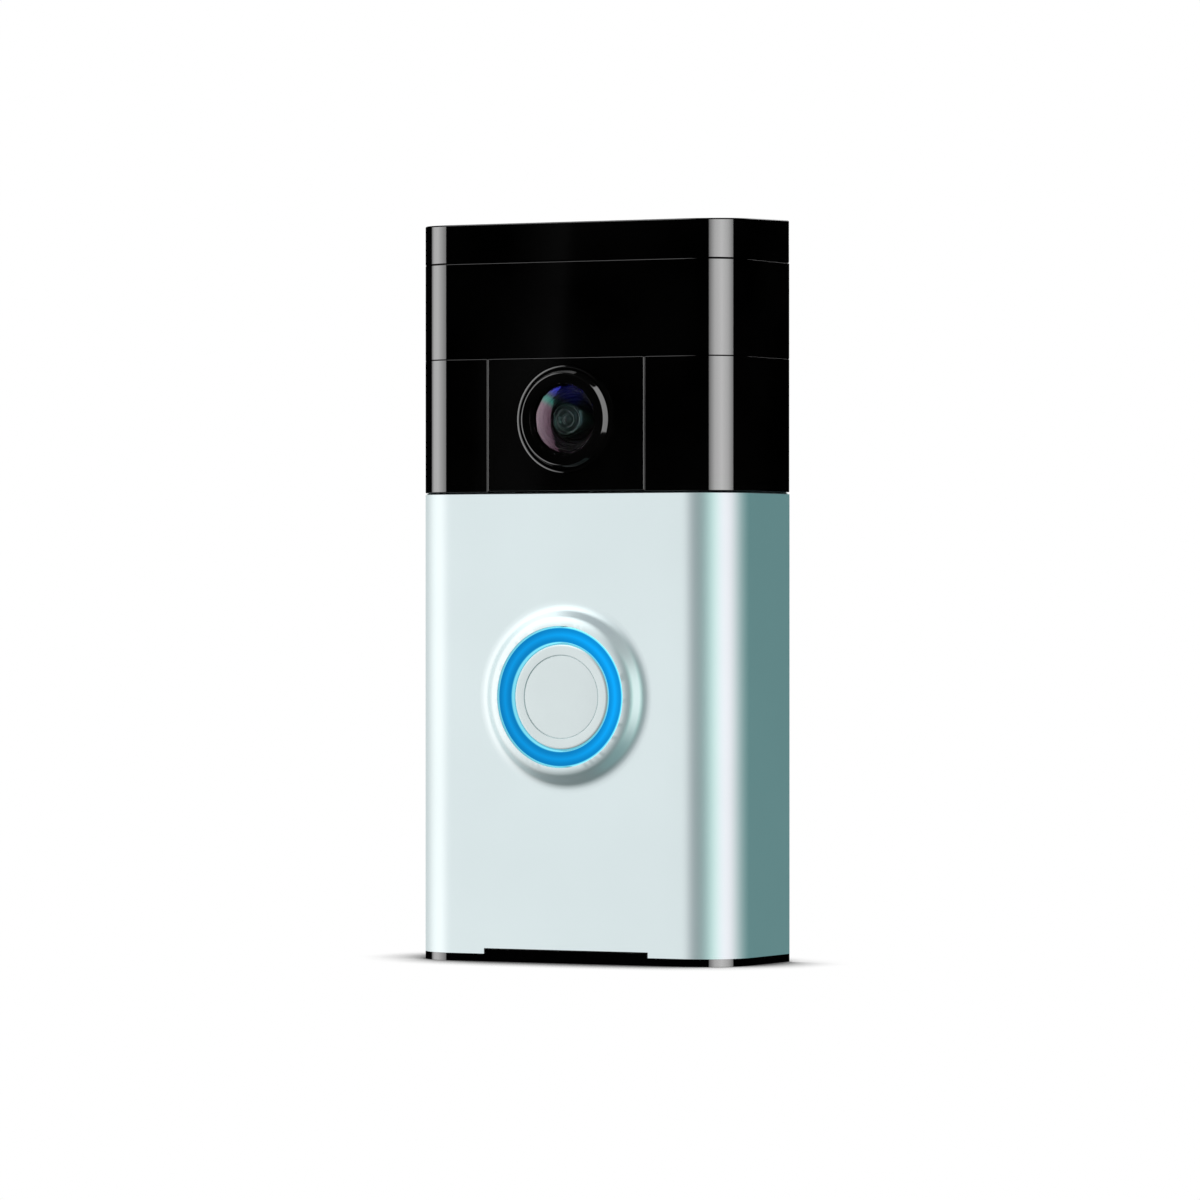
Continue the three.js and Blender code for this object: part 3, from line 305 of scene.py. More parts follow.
@dataclass(frozen=True)
class Finishes:
    """Every finish on the doorbell, each named for what it is and how its surface was made."""

    # Satin nickel paint over moulded plastic: metal flakes under a thin clear film spread the light and keep
    # it bright.
    satin_nickel: Finish = Finish(
        "satin_nickel_paint", "d9e6e8", "d5e2e4", 0.31, 0.03, 1.0, grain_mm=0.22, relief_mm=0.0012,
        clouds_mm=30)
    # The same paint on the button, a touch darker and a little smoother than on the plate.
    button_nickel: Finish = Finish(
        "satin_nickel_paint_handled", "d3dedf", "cfdadb", 0.28, 0.01, 1.0, grain_mm=0.22, relief_mm=0.0003,
        clouds_mm=9)
    # Polished polycarbonate, dyed black: a hard mirror-like face with hardly any colour of its own.
    piano_black: Finish = Finish(
        "polished_black_polycarbonate", "000000", "020202", 0.045, 0.012, grain_mm=3.0, relief_mm=0.0002,
        clouds_mm=20, receivers=Receivers.GLOSSES)
    # The same plastic from a stoned mould, which polishes it less: its highlights are softer and dimmer.
    stoned_black: Finish = Finish(
        "stoned_black_polycarbonate", "000000", "020202", 0.085, 0.012, grain_mm=3.0, relief_mm=0.0,
        clouds_mm=20, specular=0.23, receivers=Receivers.LENSES)
    # Moulded ABS with a fine spark-eroded texture, which breaks up the light.
    textured_abs: Finish = Finish(
        "spark_textured_black_abs", "0d0d0e", "131315", 0.55, 0.08, ior=1.53, grain_mm=0.35, relief_mm=0.02,
        clouds_mm=9)
    # Glass-filled nylon: slightly greyer and rougher, with faint flow marks.
    filled_nylon: Finish = Finish(
        "glass_filled_black_nylon", "161617", "1e1e20", 0.62, 0.1, ior=1.53, grain_mm=0.5, relief_mm=0.03,
        clouds_mm=14)
    # Black anodised tube, turned with fine rings so that it swallows stray light.
    black_anodise: Finish = Finish(
        "black_anodised_aluminium", "030304", "060608", 0.55, 0.08, grain_mm=0.12, relief_mm=0.01,
        clouds_mm=4, specular=0.2)
    # Zinc-plated steel: a cool bright metal with fine wear.
    zinc_steel: Finish = Finish(
        "zinc_plated_steel", "b9bcc0", "a9adb3", 0.28, 0.09, 1.0, grain_mm=0.4, relief_mm=0.006, clouds_mm=3)
    # Hard gold over nickel on the contact springs and pads.
    contact_gold: Finish = Finish(
        "hard_gold_plate", "d4ac54", "c79b45", 0.24, 0.06, 1.0, grain_mm=0.3, relief_mm=0.004, clouds_mm=3)
    # Solder-masked fibreglass board: smooth green lacquer over a faint weave.
    solder_mask: Finish = Finish(
        "green_solder_mask", "17492f", "1e5a3a", 0.35, 0.08, grain_mm=0.5, relief_mm=0.01,
        clouds_mm=7, coat=0.3)
    # Nitrile rubber: soft, matt and slightly blotched.
    nitrile: Finish = Finish(
        "nitrile_rubber", "1c1c1e", "242427", 0.82, 0.08, ior=1.52, grain_mm=0.25, relief_mm=0.02,
        clouds_mm=5)
    # Bare tin-plated can or foil pouch: bright with shallow creases.
    tin_foil: Finish = Finish(
        "tin_plate", "9aa1a6", "8a9298", 0.36, 0.1, 1.0, grain_mm=1.6, relief_mm=0.03, clouds_mm=8)
    # Moulded acetal in signal orange: waxy and smooth.
    orange_acetal: Finish = Finish(
        "orange_acetal", "e2691a", "ea7724", 0.42, 0.05, ior=1.48, grain_mm=0.3, relief_mm=0.008, clouds_mm=3)
    # Polyimide film: amber and slightly glossy.
    polyimide: Finish = Finish(
        "amber_polyimide_film", "a8752a", "b98838", 0.32, 0.06, ior=1.7, grain_mm=0.6, relief_mm=0.01,
        clouds_mm=5, coat=0.2)
    # Silicon image chip under its cover glass: dark with a faint violet cast.
    silicon: Finish = Finish(
        "sensor_silicon", "15121f", "1a1830", 0.16, 0.04, grain_mm=0.1, relief_mm=0.002,
        clouds_mm=2, coat=0.5)
    # Water-clear moulded lens of a light-emitting diode.
    led_epoxy: Finish = Finish(
        "clear_led_epoxy", "9fb7c4", "b3c6cf", 0.08, 0.02, ior=1.53, grain_mm=0.8, relief_mm=0.002,
        clouds_mm=3, coat=0.5)


# ---- mesh work
def box_mm(node: str) -> tuple[Vector, Vector]:
    """Gives a node's lowest and highest corners in millimetres."""
    low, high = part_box(node)
    return low / MM, high / MM


def eased(corners: Iterable[Corner]) -> list[Vector]:
    """Eases the corners of a section with curves.

    Args:
        corners: Radius, depth and easing length of each corner.

    Returns:
        Points along the eased section.
    """
    raw = [(Vector((r, y, 0.0)), ease) for r, y, ease in corners]
    points: list[Vector] = []
    for i, (here, ease) in enumerate(raw):
        if ease <= 0 or i in (0, len(raw) - 1):
            points.append(here)
            continue
        before, after = raw[i - 1][0] - here, raw[i + 1][0] - here
        start = here + before.normalized() * min(ease, before.length * MOST_EASED)
        end = here + after.normalized() * min(ease, after.length * MOST_EASED)
        points += interpolate_bezier(start, start.lerp(here, ARC_HANDLE), end.lerp(here, ARC_HANDLE), end,
                                     EASE_STEPS + 1)
    return points


def turned(corners: Iterable[Corner], z: float, steps: int = ROUND_STEPS) -> BMesh:
    """Spins half of a section all the way round an axis along Y, and closes its seam and poles.

    Args:
        corners: Radius, depth and easing length of each corner.
        z: Height of the axis.
        steps: Edges all the way round.

    Returns:
        The turned mesh.
    """
    bm = bmesh.new()
    verts = [bm.verts.new((p.x, p.y, z)) for p in eased(corners)]
    chain = [bm.edges.new(pair) for pair in zip(verts, verts[1:])]
    bmesh.ops.spin(bm, geom=[*verts, *chain], cent=(0, 0, z), axis=(0, 1, 0), dvec=(0, 0, 0), angle=math.tau,
                   steps=steps, use_merge=True, use_duplicate=False)
    bmesh.ops.remove_doubles(bm, verts=bm.verts, dist=SEAM)
    return bm


def join(target: BMesh, other: BMesh) -> None:
    """Adds another mesh to a mesh and frees it.

    Args:
        target: The mesh that grows.
        other: The mesh that is added.
    """
    scratch = bpy.data.meshes.new("scratch")
    other.to_mesh(scratch)
    other.free()
    target.from_mesh(scratch)
    bpy.data.meshes.remove(scratch)


def push(bm: BMesh, faces: list[bmesh.types.BMFace], way: Corner) -> None:
    """Moves part of a surface and leaves walls round it.

    Args:
        bm: The mesh.
        faces: The part that moves.
        way: How far it moves.
    """
    moved = bmesh.ops.extrude_face_region(bm, geom=faces)["geom"]
    bmesh.ops.delete(bm, geom=faces, context="FACES")
    bmesh.ops.translate(bm, vec=way, verts=[v for v in moved if isinstance(v, Vert)])


def bisect(bm: BMesh, axis: Corner, place: float, keep: int = 0) -> list[Edge]:
    """Cuts a mesh with a plane.

    Args:
        bm: The mesh.
        axis: Direction across the plane.
        place: Distance of the plane along it.
        keep: 1 keeps only what lies beyond the plane, -1 what lies before it, and 0 both.

    Returns:
        The edges along the cut.
    """
    cut = bmesh.ops.bisect_plane(bm, geom=[*bm.verts, *bm.edges, *bm.faces], dist=CUT_GAP,
                                 plane_co=Vector(axis) * place, plane_no=axis, clear_inner=keep > 0,
                                 clear_outer=keep < 0)["geom_cut"]
    return [e for e in cut if isinstance(e, Edge)]


def shifted(rows: Iterable[Corner], depth: float, radius: float = 0.0) -> list[Corner]:
    """Moves a section's corners to a depth and a radius, with their easing kept."""
    return [(radius + out, depth + deep, ease) for out, deep, ease in rows]


def copy_of(node: str) -> BMesh:
    """Copies a node's mesh in millimetres, its loose triangles merged and its flat faces whole.

    Args:
        node: Name of the node.

    Returns:
        The copy.
    """
    bm = bmesh.new()
    bm.from_mesh(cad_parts[node].data)
    bmesh.ops.scale(bm, vec=(1 / MM, 1 / MM, 1 / MM), verts=bm.verts)
    bmesh.ops.remove_doubles(bm, verts=bm.verts, dist=LOOSE)
    bmesh.ops.dissolve_limit(bm, angle_limit=FLUSH, verts=bm.verts, edges=bm.edges)
    return bm


def as_object(name: str, bm: BMesh, material: bpy.types.Material) -> bpy.types.Object:
    """Turns a mesh into an object of the scene.

    Args:
        name: Name of the object.
        bm: The mesh, which is freed.
        material: What it wears.

    Returns:
        The new object.
    """
    mesh = bpy.data.meshes.new(name)
    bm.to_mesh(mesh)
    bm.free()
    mesh.materials.append(material)
    made = bpy.data.objects.new(name, mesh)
    bpy.context.scene.collection.objects.link(made)
    return made


@dataclass
class Piece:
    """How a finished mesh becomes a piece of the doorbell."""

    name: str
    finish: Finish
    slot: str
    round_mm: float = 0.0
    sharp: float = 32.0
    body: Body = Body.DOORBELL
    stands_for: tuple[str, ...] = ()

    def __post_init__(self) -> None:
        """Lets the piece stand for the node of its own name where no other is given."""
        self.stands_for = self.stands_for or (self.name,)

    def make(self, bm: BMesh) -> None:
        """Turns the mesh into an object, dresses it, and puts it on its body.

        Args:
            bm: The mesh in millimetres, which is freed.
        """
        bmesh.ops.recalc_face_normals(bm, faces=bm.faces)
        bmesh.ops.scale(bm, vec=(MM, MM, MM), verts=bm.verts)
        for face in bm.faces:
            face.smooth = True
        for edge in bm.edges:
            edge.smooth = edge.calc_face_angle(0.0) < math.radians(self.sharp)
        made = as_object(self.name, bm, self.finish.material())
        if self.round_mm:
            bevel = made.modifiers.new("rounded_edges", "BEVEL")
            bevel.width = self.round_mm * MM
            bevel.segments = BEVEL_STEPS
            bevel.limit_method = "ANGLE"
            bevel.angle_limit = math.radians(self.sharp)
            bevel.harden_normals = True
        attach(made, self.body.value)
        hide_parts(*self.stands_for)
        LOG.info("%s: %d faces on %s", self.name, len(made.data.polygons), self.body.value)


# ---- outer skins
@dataclass
class Skins:
    """The wrap-round skins: one section, square at the wall and round at its two front edges."""

    edge_radius: float = 8.7
    thickness: float = 1.6
    corner_steps: int = 24
    hole_margin: float = 0.8
    weld: float = 0.02
    half_width: float = field(init=False)
    front: float = field(init=False)
    back: float = field(init=False)

    def __post_init__(self) -> None:
        """Takes the section's sizes from the top cap."""
        low, high = box_mm("top_cap")
        self.half_width, self.front, self.back = high.x, low.y, high.y

    def sheet(self, low: float, high: float) -> BMesh:
        """Bends the outer face between two heights, open at the wall.

        Args:
            low: Lower edge.
            high: Upper edge.

        Returns:
            The open sheet, facing outwards.
        """
        bm = bmesh.new()
        wide = self.half_width
        path = [(-wide, self.back), (-wide, self.front), (wide, self.front), (wide, self.back)]
        verts = [bm.verts.new((x, y, low)) for x, y in path]
        edges = [bm.edges.new(pair) for pair in zip(verts, verts[1:])]
        raised = bmesh.ops.extrude_edge_only(bm, edges=edges)["geom"]
        bmesh.ops.translate(bm, vec=(0, 0, high - low), verts=[v for v in raised if isinstance(v, Vert)])
        upright = [e for e in bm.edges if abs(e.verts[0].co.z - e.verts[1].co.z) > NEAR
                   and all(abs(v.co.y - self.front) < NEAR for v in e.verts)]
        bmesh.ops.bevel(bm, geom=upright, offset=self.edge_radius, offset_type="OFFSET", affect="EDGES",
                        segments=self.corner_steps, profile=0.5, material=-1)
        self.face_out(bm)
        return bm

    def face_out(self, bm: BMesh) -> None:
        """Turns an open sheet's faces outwards.

        Args:
            bm: The sheet.
        """
        bmesh.ops.recalc_face_normals(bm, faces=bm.faces)
        bm.normal_update()
        if sum(f.calc_area() * f.normal.y for f in bm.faces if abs(f.normal.y) > FLAT) > 0:
            bmesh.ops.reverse_faces(bm, faces=bm.faces)

    def thicken(self, bm: BMesh) -> None:
        """Gives an outward-facing sheet its wall, inwards."""
        bm.normal_update()
        bmesh.ops.solidify(bm, geom=bm.faces, thickness=self.thickness)

    def turn_in(self, bm: BMesh, edges: list[Edge], rise: float, depth: float) -> None:
        """Turns a sheet's open edge inwards with a sloped flange.

        Args:
            bm: The open sheet.
            edges: Its open edge.
            rise: Height of the flange.
            depth: How far its free edge lies inside the sheet's face.
        """
        inner = self.half_width - self.edge_radius
        added = bmesh.ops.extrude_edge_only(bm, edges=edges)["geom"]
        for vert in [v for v in added if isinstance(v, Vert)]:
            core = vert.co.copy()
            core.x, core.y = max(-inner, min(inner, core.x)), max(self.front + self.edge_radius, core.y)
            vert.co += (core - vert.co).normalized() * depth + Vector((0, 0, rise))

    def tongue(self, bm: BMesh, outer: set[Vert], height: float, reach: float) -> None:
        """Raises the inner half of a thickened skin's rim, so that no light passes its joint with the next.

        Args:
            bm: The skin.
            outer: Vertices of its outer face.
            height: Height of the rim.
            reach: How far the rim is raised, or lowered where it is below zero.
        """
        rim = [f for f in bm.faces if all(abs(v.co.z - height) < NEAR for v in f.verts)]
        across = dict.fromkeys(
            e for f in rim for e in f.edges if (e.verts[0] in outer) != (e.verts[1] in outer))
        bmesh.ops.subdivide_edges(bm, edges=list(across), cuts=1, use_grid_fill=True)
        inner = [
            f for f in bm.faces if all(abs(v.co.z - height) < NEAR and v not in outer for v in f.verts)]
        push(bm, inner, (0, 0, reach))

    def open_hole(self, bm: BMesh, z: float, square: float, depth: float, radius: float) -> None:
        """Opens a round hole in one flat face of a thickened skin.

        Args:
            bm: The skin, scored round the hole's square.
            z: Height of the hole's centre.
            square: Half the side of the scored square.
            depth: Depth of the face.
            radius: Radius of the hole.
        """
        inside = [f for f in bm.faces if abs(f.calc_center_median().y - depth) < NEAR and all(
            max(abs(v.co.x), abs(v.co.z - z)) < square + NEAR for v in f.verts)]
        rim = dict.fromkeys(
            e for f in inside for e in f.edges if any(other not in inside for other in e.link_faces))
        bmesh.ops.delete(bm, geom=inside, context="FACES_ONLY")
        upright = Matrix.Translation((0, depth, z)) @ Matrix.Rotation(math.radians(90), 4, "X")
        circle = bmesh.ops.create_circle(bm, cap_ends=False, radius=radius, segments=ROUND_STEPS,
                                         matrix=upright)
        loop = dict.fromkeys(e for v in circle["verts"] for e in v.link_edges)
        bmesh.ops.triangle_fill(bm, edges=[*rim, *loop], use_beauty=True)
        loose = [e for e in bm.edges if not e.link_faces]
        bmesh.ops.delete(bm, geom=loose, context="EDGES")

    def bore(self, bm: BMesh, z: float, section: list[Corner]) -> None:
        """Opens a hole right through a thickened skin and lines it with a turned wall.

        Args:
            bm: The skin.
            z: Height of the hole's centre.
            section: The wall, from the outer face's circle to the inner face's.
        """
        square = section[0][0] + self.hole_margin
        for axis, middle in ((ACROSS, 0), (UP, z)):
            bisect(bm, axis, middle - square)
            bisect(bm, axis, middle + square)
        for radius, depth, _ in (section[0], section[-1]):
            self.open_hole(bm, z, square, depth, radius)
        join(bm, turned(section, z))
        bmesh.ops.remove_doubles(bm, verts=bm.verts, dist=self.weld)


@dataclass
class SensorHead:
    """Black head: cap, motion window, camera panel and the two infrared windows."""

    skins: Skins
    finishes: Finishes
    edge_mm: float = 0.12
    roof_rise: float = 0.6
    lens_gap: float = 0.12

    def black(self, name: str, bm: BMesh, softer: float = 1.0) -> None:
        """Makes one polished black skin that stands for the node of its name."""
        Piece(name, self.finishes.piano_black, "gloss_black", self.edge_mm * softer).make(bm)

    def build_cap(self) -> None:
        """Builds the cap with its sloped roof."""
        skins, (low, high) = self.skins, box_mm("top_cap")
        bm = skins.sheet(low.z, high.z)
        top = [v for v in bm.verts if v.co.z > high.z - NEAR]
        for vert in top:
            vert.co.z -= self.roof_rise * (skins.back - vert.co.y) / (skins.back - skins.front)
        bmesh.ops.contextual_create(bm, geom=[e for e in bm.edges if all(v in top for v in e.verts)])
        skins.face_out(bm)
        skins.thicken(bm)
        self.black("top_cap", bm, 2.0)

    def build_window(self) -> None:
        """Builds the motion sensor's window band."""
        low, high = box_mm("pir_window")
        window = self.skins.sheet(low.z, high.z)
        outer = set(window.verts)
        self.skins.thicken(window)
        self.skins.tongue(window, outer, high.z, box_mm("top_cap")[0].z - high.z)
        self.skins.tongue(window, outer, low.z, box_mm("camera_panel")[1].z - low.z)
        self.black("pir_window", window)

    def build_camera_band(self) -> None:
        """Builds the panel round the lens and the infrared windows either side of it."""
        low, high = box_mm("camera_panel")
        lens_low, lens_high = box_mm("lens_bezel")
        hole = (lens_high.x - lens_low.x) / 2 + self.lens_gap
        panel = self.skins.sheet(low.z, high.z)
        bisect(panel, ACROSS, low.x, 1)
        bisect(panel, ACROSS, high.x, -1)
        self.skins.thicken(panel)
        front = self.skins.front
        wall = [(hole, front, 0), (hole, front + self.skins.thickness, 0)]
        self.skins.bore(panel, (lens_low.z + lens_high.z) / 2, wall)
        self.black("camera_panel", panel)
        for name, keep in (("ir_window_left", -1), ("ir_window_right", 1)):
            side_low, side_high = box_mm(name)
            side = self.skins.sheet(side_low.z, side_high.z)
            bisect(side, ACROSS, side_low.x if keep > 0 else side_high.x, keep)
            outer = set(side.verts)
            self.skins.thicken(side)
            self.skins.tongue(side, outer, side_low.z, box_mm("front_faceplate")[1].z - side_low.z)
            self.black(name, side)

    def build(self) -> None:
        """Builds every skin of the head."""
        self.build_cap()
        self.build_window()
        self.build_camera_band()


@dataclass
class Faceplate:
    """Silver faceplate with the raised collar round its button."""

    skins: Skins
    finishes: Finishes
    rise: float = 2.12
    notch_half: float = 15.8
    notch_height: float = 0.95
    flange: float = 0.35
    flange_slope: float = 1.7
    ring_gap: float = 0.14
    slope: tuple[Corner, ...] = (
        (4.9, 0, 0), (4.25, 0, 0.5), (3.4, -0.15, 0.4), (2.75, -0.45, 0.3), (1.5, -1.6, 0.4))

    def collar(self, hole: float) -> list[Corner]:
        """Draws the collar's section: soft foot, slope, eased crest and the wall of the hole."""
        crest = [(0.05, -self.rise, 0.05), (0, 0.2 - self.rise, 0.05), (0, self.skins.thickness, 0)]
        return shifted([*self.slope, *crest], self.skins.front, hole)

    def build(self) -> None:
        """Builds the plate, notches its foot, turns its upper edge in and opens it for the button."""
        skins, (low, high) = self.skins, box_mm("front_faceplate")
        ring_low, ring_high = box_mm("light_ring")
        bm = skins.sheet(low.z, high.z - self.flange)
        notch_top = low.z + self.notch_height
        bisect(bm, UP, notch_top)
        bisect(bm, ACROSS, -self.notch_half)
        bisect(bm, ACROSS, self.notch_half)
        notch = [f for f in bm.faces if f.calc_center_median().z < notch_top and f.normal.y < -FLAT
                 and abs(f.calc_center_median().x) < self.notch_half]
        bmesh.ops.delete(bm, geom=notch, context="FACES")
        rim = high.z - self.flange - NEAR
        upper = [e for e in bm.edges if e.is_boundary and all(v.co.z > rim for v in e.verts)]
        skins.turn_in(bm, upper, self.flange, self.flange * self.flange_slope)
        skins.face_out(bm)
        skins.thicken(bm)
        hole = (ring_high.x - ring_low.x) / 2 + self.ring_gap
        skins.bore(bm, (ring_low.z + ring_high.z) / 2, self.collar(hole))
        Piece("front_faceplate", self.finishes.satin_nickel, "satin_silver").make(bm)


# ---- button and lens
@dataclass
class PushButton:
    """The lit ring and the button cap inside it."""

    finishes: Finishes
    ring_bore: float = 9.3
    groove_radius: float = 7.1
    groove_width: float = 0.14
    rim_step: float = 0.74
    stem: float = 2.6

    def build(self) -> None:
        """Builds the light ring and the cap."""
        low, high = box_mm("light_ring")
        centre, outer = (low.z + high.z) / 2, (high.x - low.x) / 2
        inner, deep = self.ring_bore, high.y - low.y
        guide = LightGuide("frosted_light_guide", "03253f", "042b48", 0.3, 0.05, ior=1.49, grain_mm=0.4,
                           relief_mm=0.004, specular=0.2, centre=(0, 0, centre), inner=inner, outer=outer)
        ring = [(outer, deep, 0), (outer, 0.15, 0.15), (outer - 0.2, 0, 0.1), (inner + 0.2, 0, 0.1),
                (inner, 0.15, 0.15), (inner, deep, 0), (outer, deep, 0)]
        Piece("light_ring", guide, "lit_blue").make(turned(shifted(ring, low.y), centre))
        low, high = box_mm("button_cap")
        groove, half = self.groove_radius, self.groove_width / 2
        flange, stem, deep = (high.x - low.x) / 2, self.stem, high.y - low.y
        rim = flange - self.rim_step
        cap = [(0, 0.1, 0), (groove - half, 0.1, 0.05), (groove - half * 0.5, 0.2, 0.05),
               (groove + half * 0.5, 0.2, 0.05), (groove + half, 0.02, 0.05), (rim - 0.4, 0, 0.3),
               (rim, 0.25, 0.25), (rim, 2.1, 0), (flange, 2.1, 0.1), (flange, 2.75, 0.1), (stem, 2.75, 0),
               (stem, deep, 0.2), (0, deep, 0)]
        Piece("button_cap", self.finishes.button_nickel, "satin_silver", body=Body.FRONT_BUTTON).make(
            turned(shifted(cap, low.y), centre))


@dataclass
class CameraLens:
    """Lens surround, cover glass, barrel and the front element behind it."""

    finishes: Finishes
    ring_rise: float = 0.5
    ring_width: float = 0.42
    lip_radius: float = 7.85
    bowl_radius: float = 6.3
    dome_curve: float = 14.5
    dome_wall: float = 1.4
    bulge: float = 0.45
    glass_ior: float = 1.75
    tube_radius: float = 5.0
    flange_radius: float = 8.2
    flange_depth: float = 1.5
    flange_front: float = -20.5
    nose_sunk: float = 0.25
    element_lead: float = 0.35
    inner_steps: int = 96
    stops: tuple[Corner, ...] = (
        (4.85, 0, 0.1), (4.5, 0.3, 0.05), (4.4, 0.9, 0.05), (4.0, 0.95, 0.05), (3.9, 1.5, 0.05),
        (3.5, 1.55, 0.05), (3.4, 2.1, 0.05), (3.0, 2.15, 0.05), (2.85, 2.5, 0.05))
    element: tuple[Corner, ...] = (
        (0, -0.25, 0), (0.45, -0.18, 0.2), (0.8, 0.12, 0.15), (1.05, 0.16, 0.1), (1.4, -0.18, 0.2),
        (1.75, 0.16, 0.15), (2.0, 0.18, 0.1), (2.3, -0.05, 0.15), (2.6, 0.3, 0.1), (2.8, 1.0, 0),
        (2.8, 3.0, 0), (0, 3.0, 0))

    def surround(self, outer: float, skin: float, lip: float, glass: float, back: float) -> list[Corner]:
        """Draws the surround's section: raised ring, steep slope, flat lip and the bowl down to the glass.

        Args:
            outer: Radius of its outer wall.
            skin: Depth of the panel's face.
            lip: Depth of the lip.
            glass: Radius of the cover glass.
            back: Depth of its back.

        Returns:
            The section's corners.
        """
        top, inner = skin - self.ring_rise, outer - self.ring_width
        bore = glass - 0.1
        return [(bore, back, 0), (outer, back, 0), (outer, top + 0.15, 0), (outer - 0.22, top + 0.03, 0.15),
                (inner, top, 0), (inner, skin - 0.05, 0), (self.lip_radius, lip, 0.22),
                (self.bowl_radius, lip + 0.03, 0), (bore, skin - 0.3, 0), (bore, back, 0)]

    def arc(self, apex: float, curve: float, radius: float) -> list[Corner]:
        """Draws part of a circle, from its depth on the lens axis out to a radius."""
        reach = [radius * i / ARC_STEPS for i in range(ARC_STEPS + 1)]
        return [(r, apex + curve - math.sqrt(curve ** 2 - r ** 2), 0) for r in reach]

    def crown(self, apex: float, radius: float) -> list[Corner]:
        """Draws half of a domed glass whose hollow back mirrors no lamp that its front doesn't.

        Args:
            apex: Depth of its front on the lens axis.
            radius: Its radius.

        Returns:
            The section's corners.
        """
        hollow_curve = self.dome_curve * self.glass_ior / (self.glass_ior - 1)
        hollow = self.arc(apex + self.dome_wall, hollow_curve, radius)
        return [*self.arc(apex, self.dome_curve, radius), *reversed(hollow)]

    def build(self) -> None:
        """Builds the four visible parts of the lens."""
        low, high = box_mm("lens_bezel")
        dome_low, dome_high = box_mm("lens_dome")
        centre, glass = (low.z + high.z) / 2, dome_high.x
        skin = box_mm("camera_panel")[0].y
        section = self.surround(high.x, skin, low.y, glass, high.y)
        Piece("lens_bezel", self.finishes.stoned_black, "gloss_black").make(turned(section, centre))
        coat = CoatedGlass("coated_cover_glass", "ffffff", "f4f6ff", 0.07, 0.0, ior=self.glass_ior,
                           relief_mm=0.0, transmission=1.0, receivers=Receivers.LENSES,
                           centre=(0, 0, centre), reach=glass)
        dome = turned(self.crown(dome_low.y - self.bulge, glass), centre)
        Piece("lens_dome", coat, "coated_glass").make(dome)
        self.build_inside(centre)

    def build_inside(self, centre: float) -> None:
        """Builds the stepped barrel and the small front element.

        Args:
            centre: Height of the lens axis.
        """
        low, high = box_mm("lens_barrel")
        nose = low.y + self.nose_sunk
        tube, wide, far, back = self.tube_radius, self.flange_radius, self.flange_depth, high.y - nose
        section = [(tube, back, 0), (tube, 0.1, 0.1), *self.stops, (self.stops[-1][0], back, 0),
                   (tube, back, 0)]
        barrel = turned(shifted(section, nose), centre, self.inner_steps)
        flange = [(tube, 0, 0), (wide, 0, 0.2), (wide, far, 0.2), (tube, far, 0), (tube, 0, 0)]
        join(barrel, turned(shifted(flange, self.flange_front), centre, self.inner_steps))
        Piece("lens_barrel", self.finishes.black_anodise, "matt_black").make(barrel)
        coat = CoatedGlass("coated_front_element", "141f1c", "1a2521", 0.2, 0.02, ior=1.6, relief_mm=0.0,
                           receivers=Receivers.LENSES, centre=(0, 0, centre), reach=3.0,
                           tints=((0.0, "769c8e"), (1.0, "6c92a4")))
        Piece("lens_element", coat, "optic_glass").make(
            turned(shifted(self.element, nose - self.element_lead), centre, self.inner_steps))


# ---- bracket, housing and small parts
@dataclass
class WallSide:
    """Everything towards the wall: the bracket, and the rear cover and housing with their edges eased."""

    finishes: Finishes
    land: float = 1.3
    pocket: float = 0.5
    foot_over: float = 0.1
    eased: tuple[float, float] = (0.15, 40)
    foot_eased: tuple[float, float] = (0.03, 40)

    def build(self) -> None:
        """Builds copies of the moulded parts, with the housing's polished foot as a piece of its own."""
        nylon, abs_ = self.finishes.filled_nylon, self.finishes.textured_abs
        bracket = copy_of("mounting_bracket")
        self.sink_back(bracket, box_mm("mounting_bracket")[1].y)
        Piece("mounting_bracket", nylon, "matt_black", body=Body.BRACKET).make(bracket)
        Piece("rear_cover", abs_, "matt_black", *self.eased).make(copy_of("rear_cover"))
        foot_top = box_mm("front_faceplate")[0].z + Faceplate.notch_height + self.foot_over
        Piece("front_housing", abs_, "matt_black", *self.eased).make(self.part("front_housing", foot_top, 1))
        Piece("housing_foot", self.finishes.piano_black, "gloss_black", *self.foot_eased,
              stands_for=("front_housing",)).make(self.part("front_housing", foot_top, -1))

    def sink_back(self, bm: BMesh, back: float) -> None:
        """Sinks a pocket in the face that lies on the wall, with lands round its rim, holes and window.

        Args:
            bm: The bracket.
            back: Depth of that face.
        """
        face = [f for f in bm.faces if f.calc_center_median().y > back - NEAR]
        bmesh.ops.inset_region(bm, faces=face, thickness=self.land, use_boundary=True, use_even_offset=True)
        rim = [e for f in face for e in f.edges if any(other not in face for other in e.link_faces)]
        bmesh.ops.delete(bm, geom=face, context="FACES")
        floor = bmesh.ops.triangle_fill(bm, edges=rim, use_beauty=True, normal=(0, 1, 0))["geom"]
        push(bm, [f for f in floor if isinstance(f, bmesh.types.BMFace)], (0, -self.pocket, 0))

    def part(self, node: str, height: float, keep: int) -> BMesh:
        """Copies the part of a node above or below a height and closes the cut.

        Args:
            node: Name of the node.
            height: Height of the cut.
            keep: 1 for what is above it, -1 for what is below.

        Returns:
            The closed part.
        """
        bm = copy_of(node)
        bmesh.ops.triangle_fill(bm, edges=bisect(bm, UP, height, keep), use_beauty=True)
        return bm


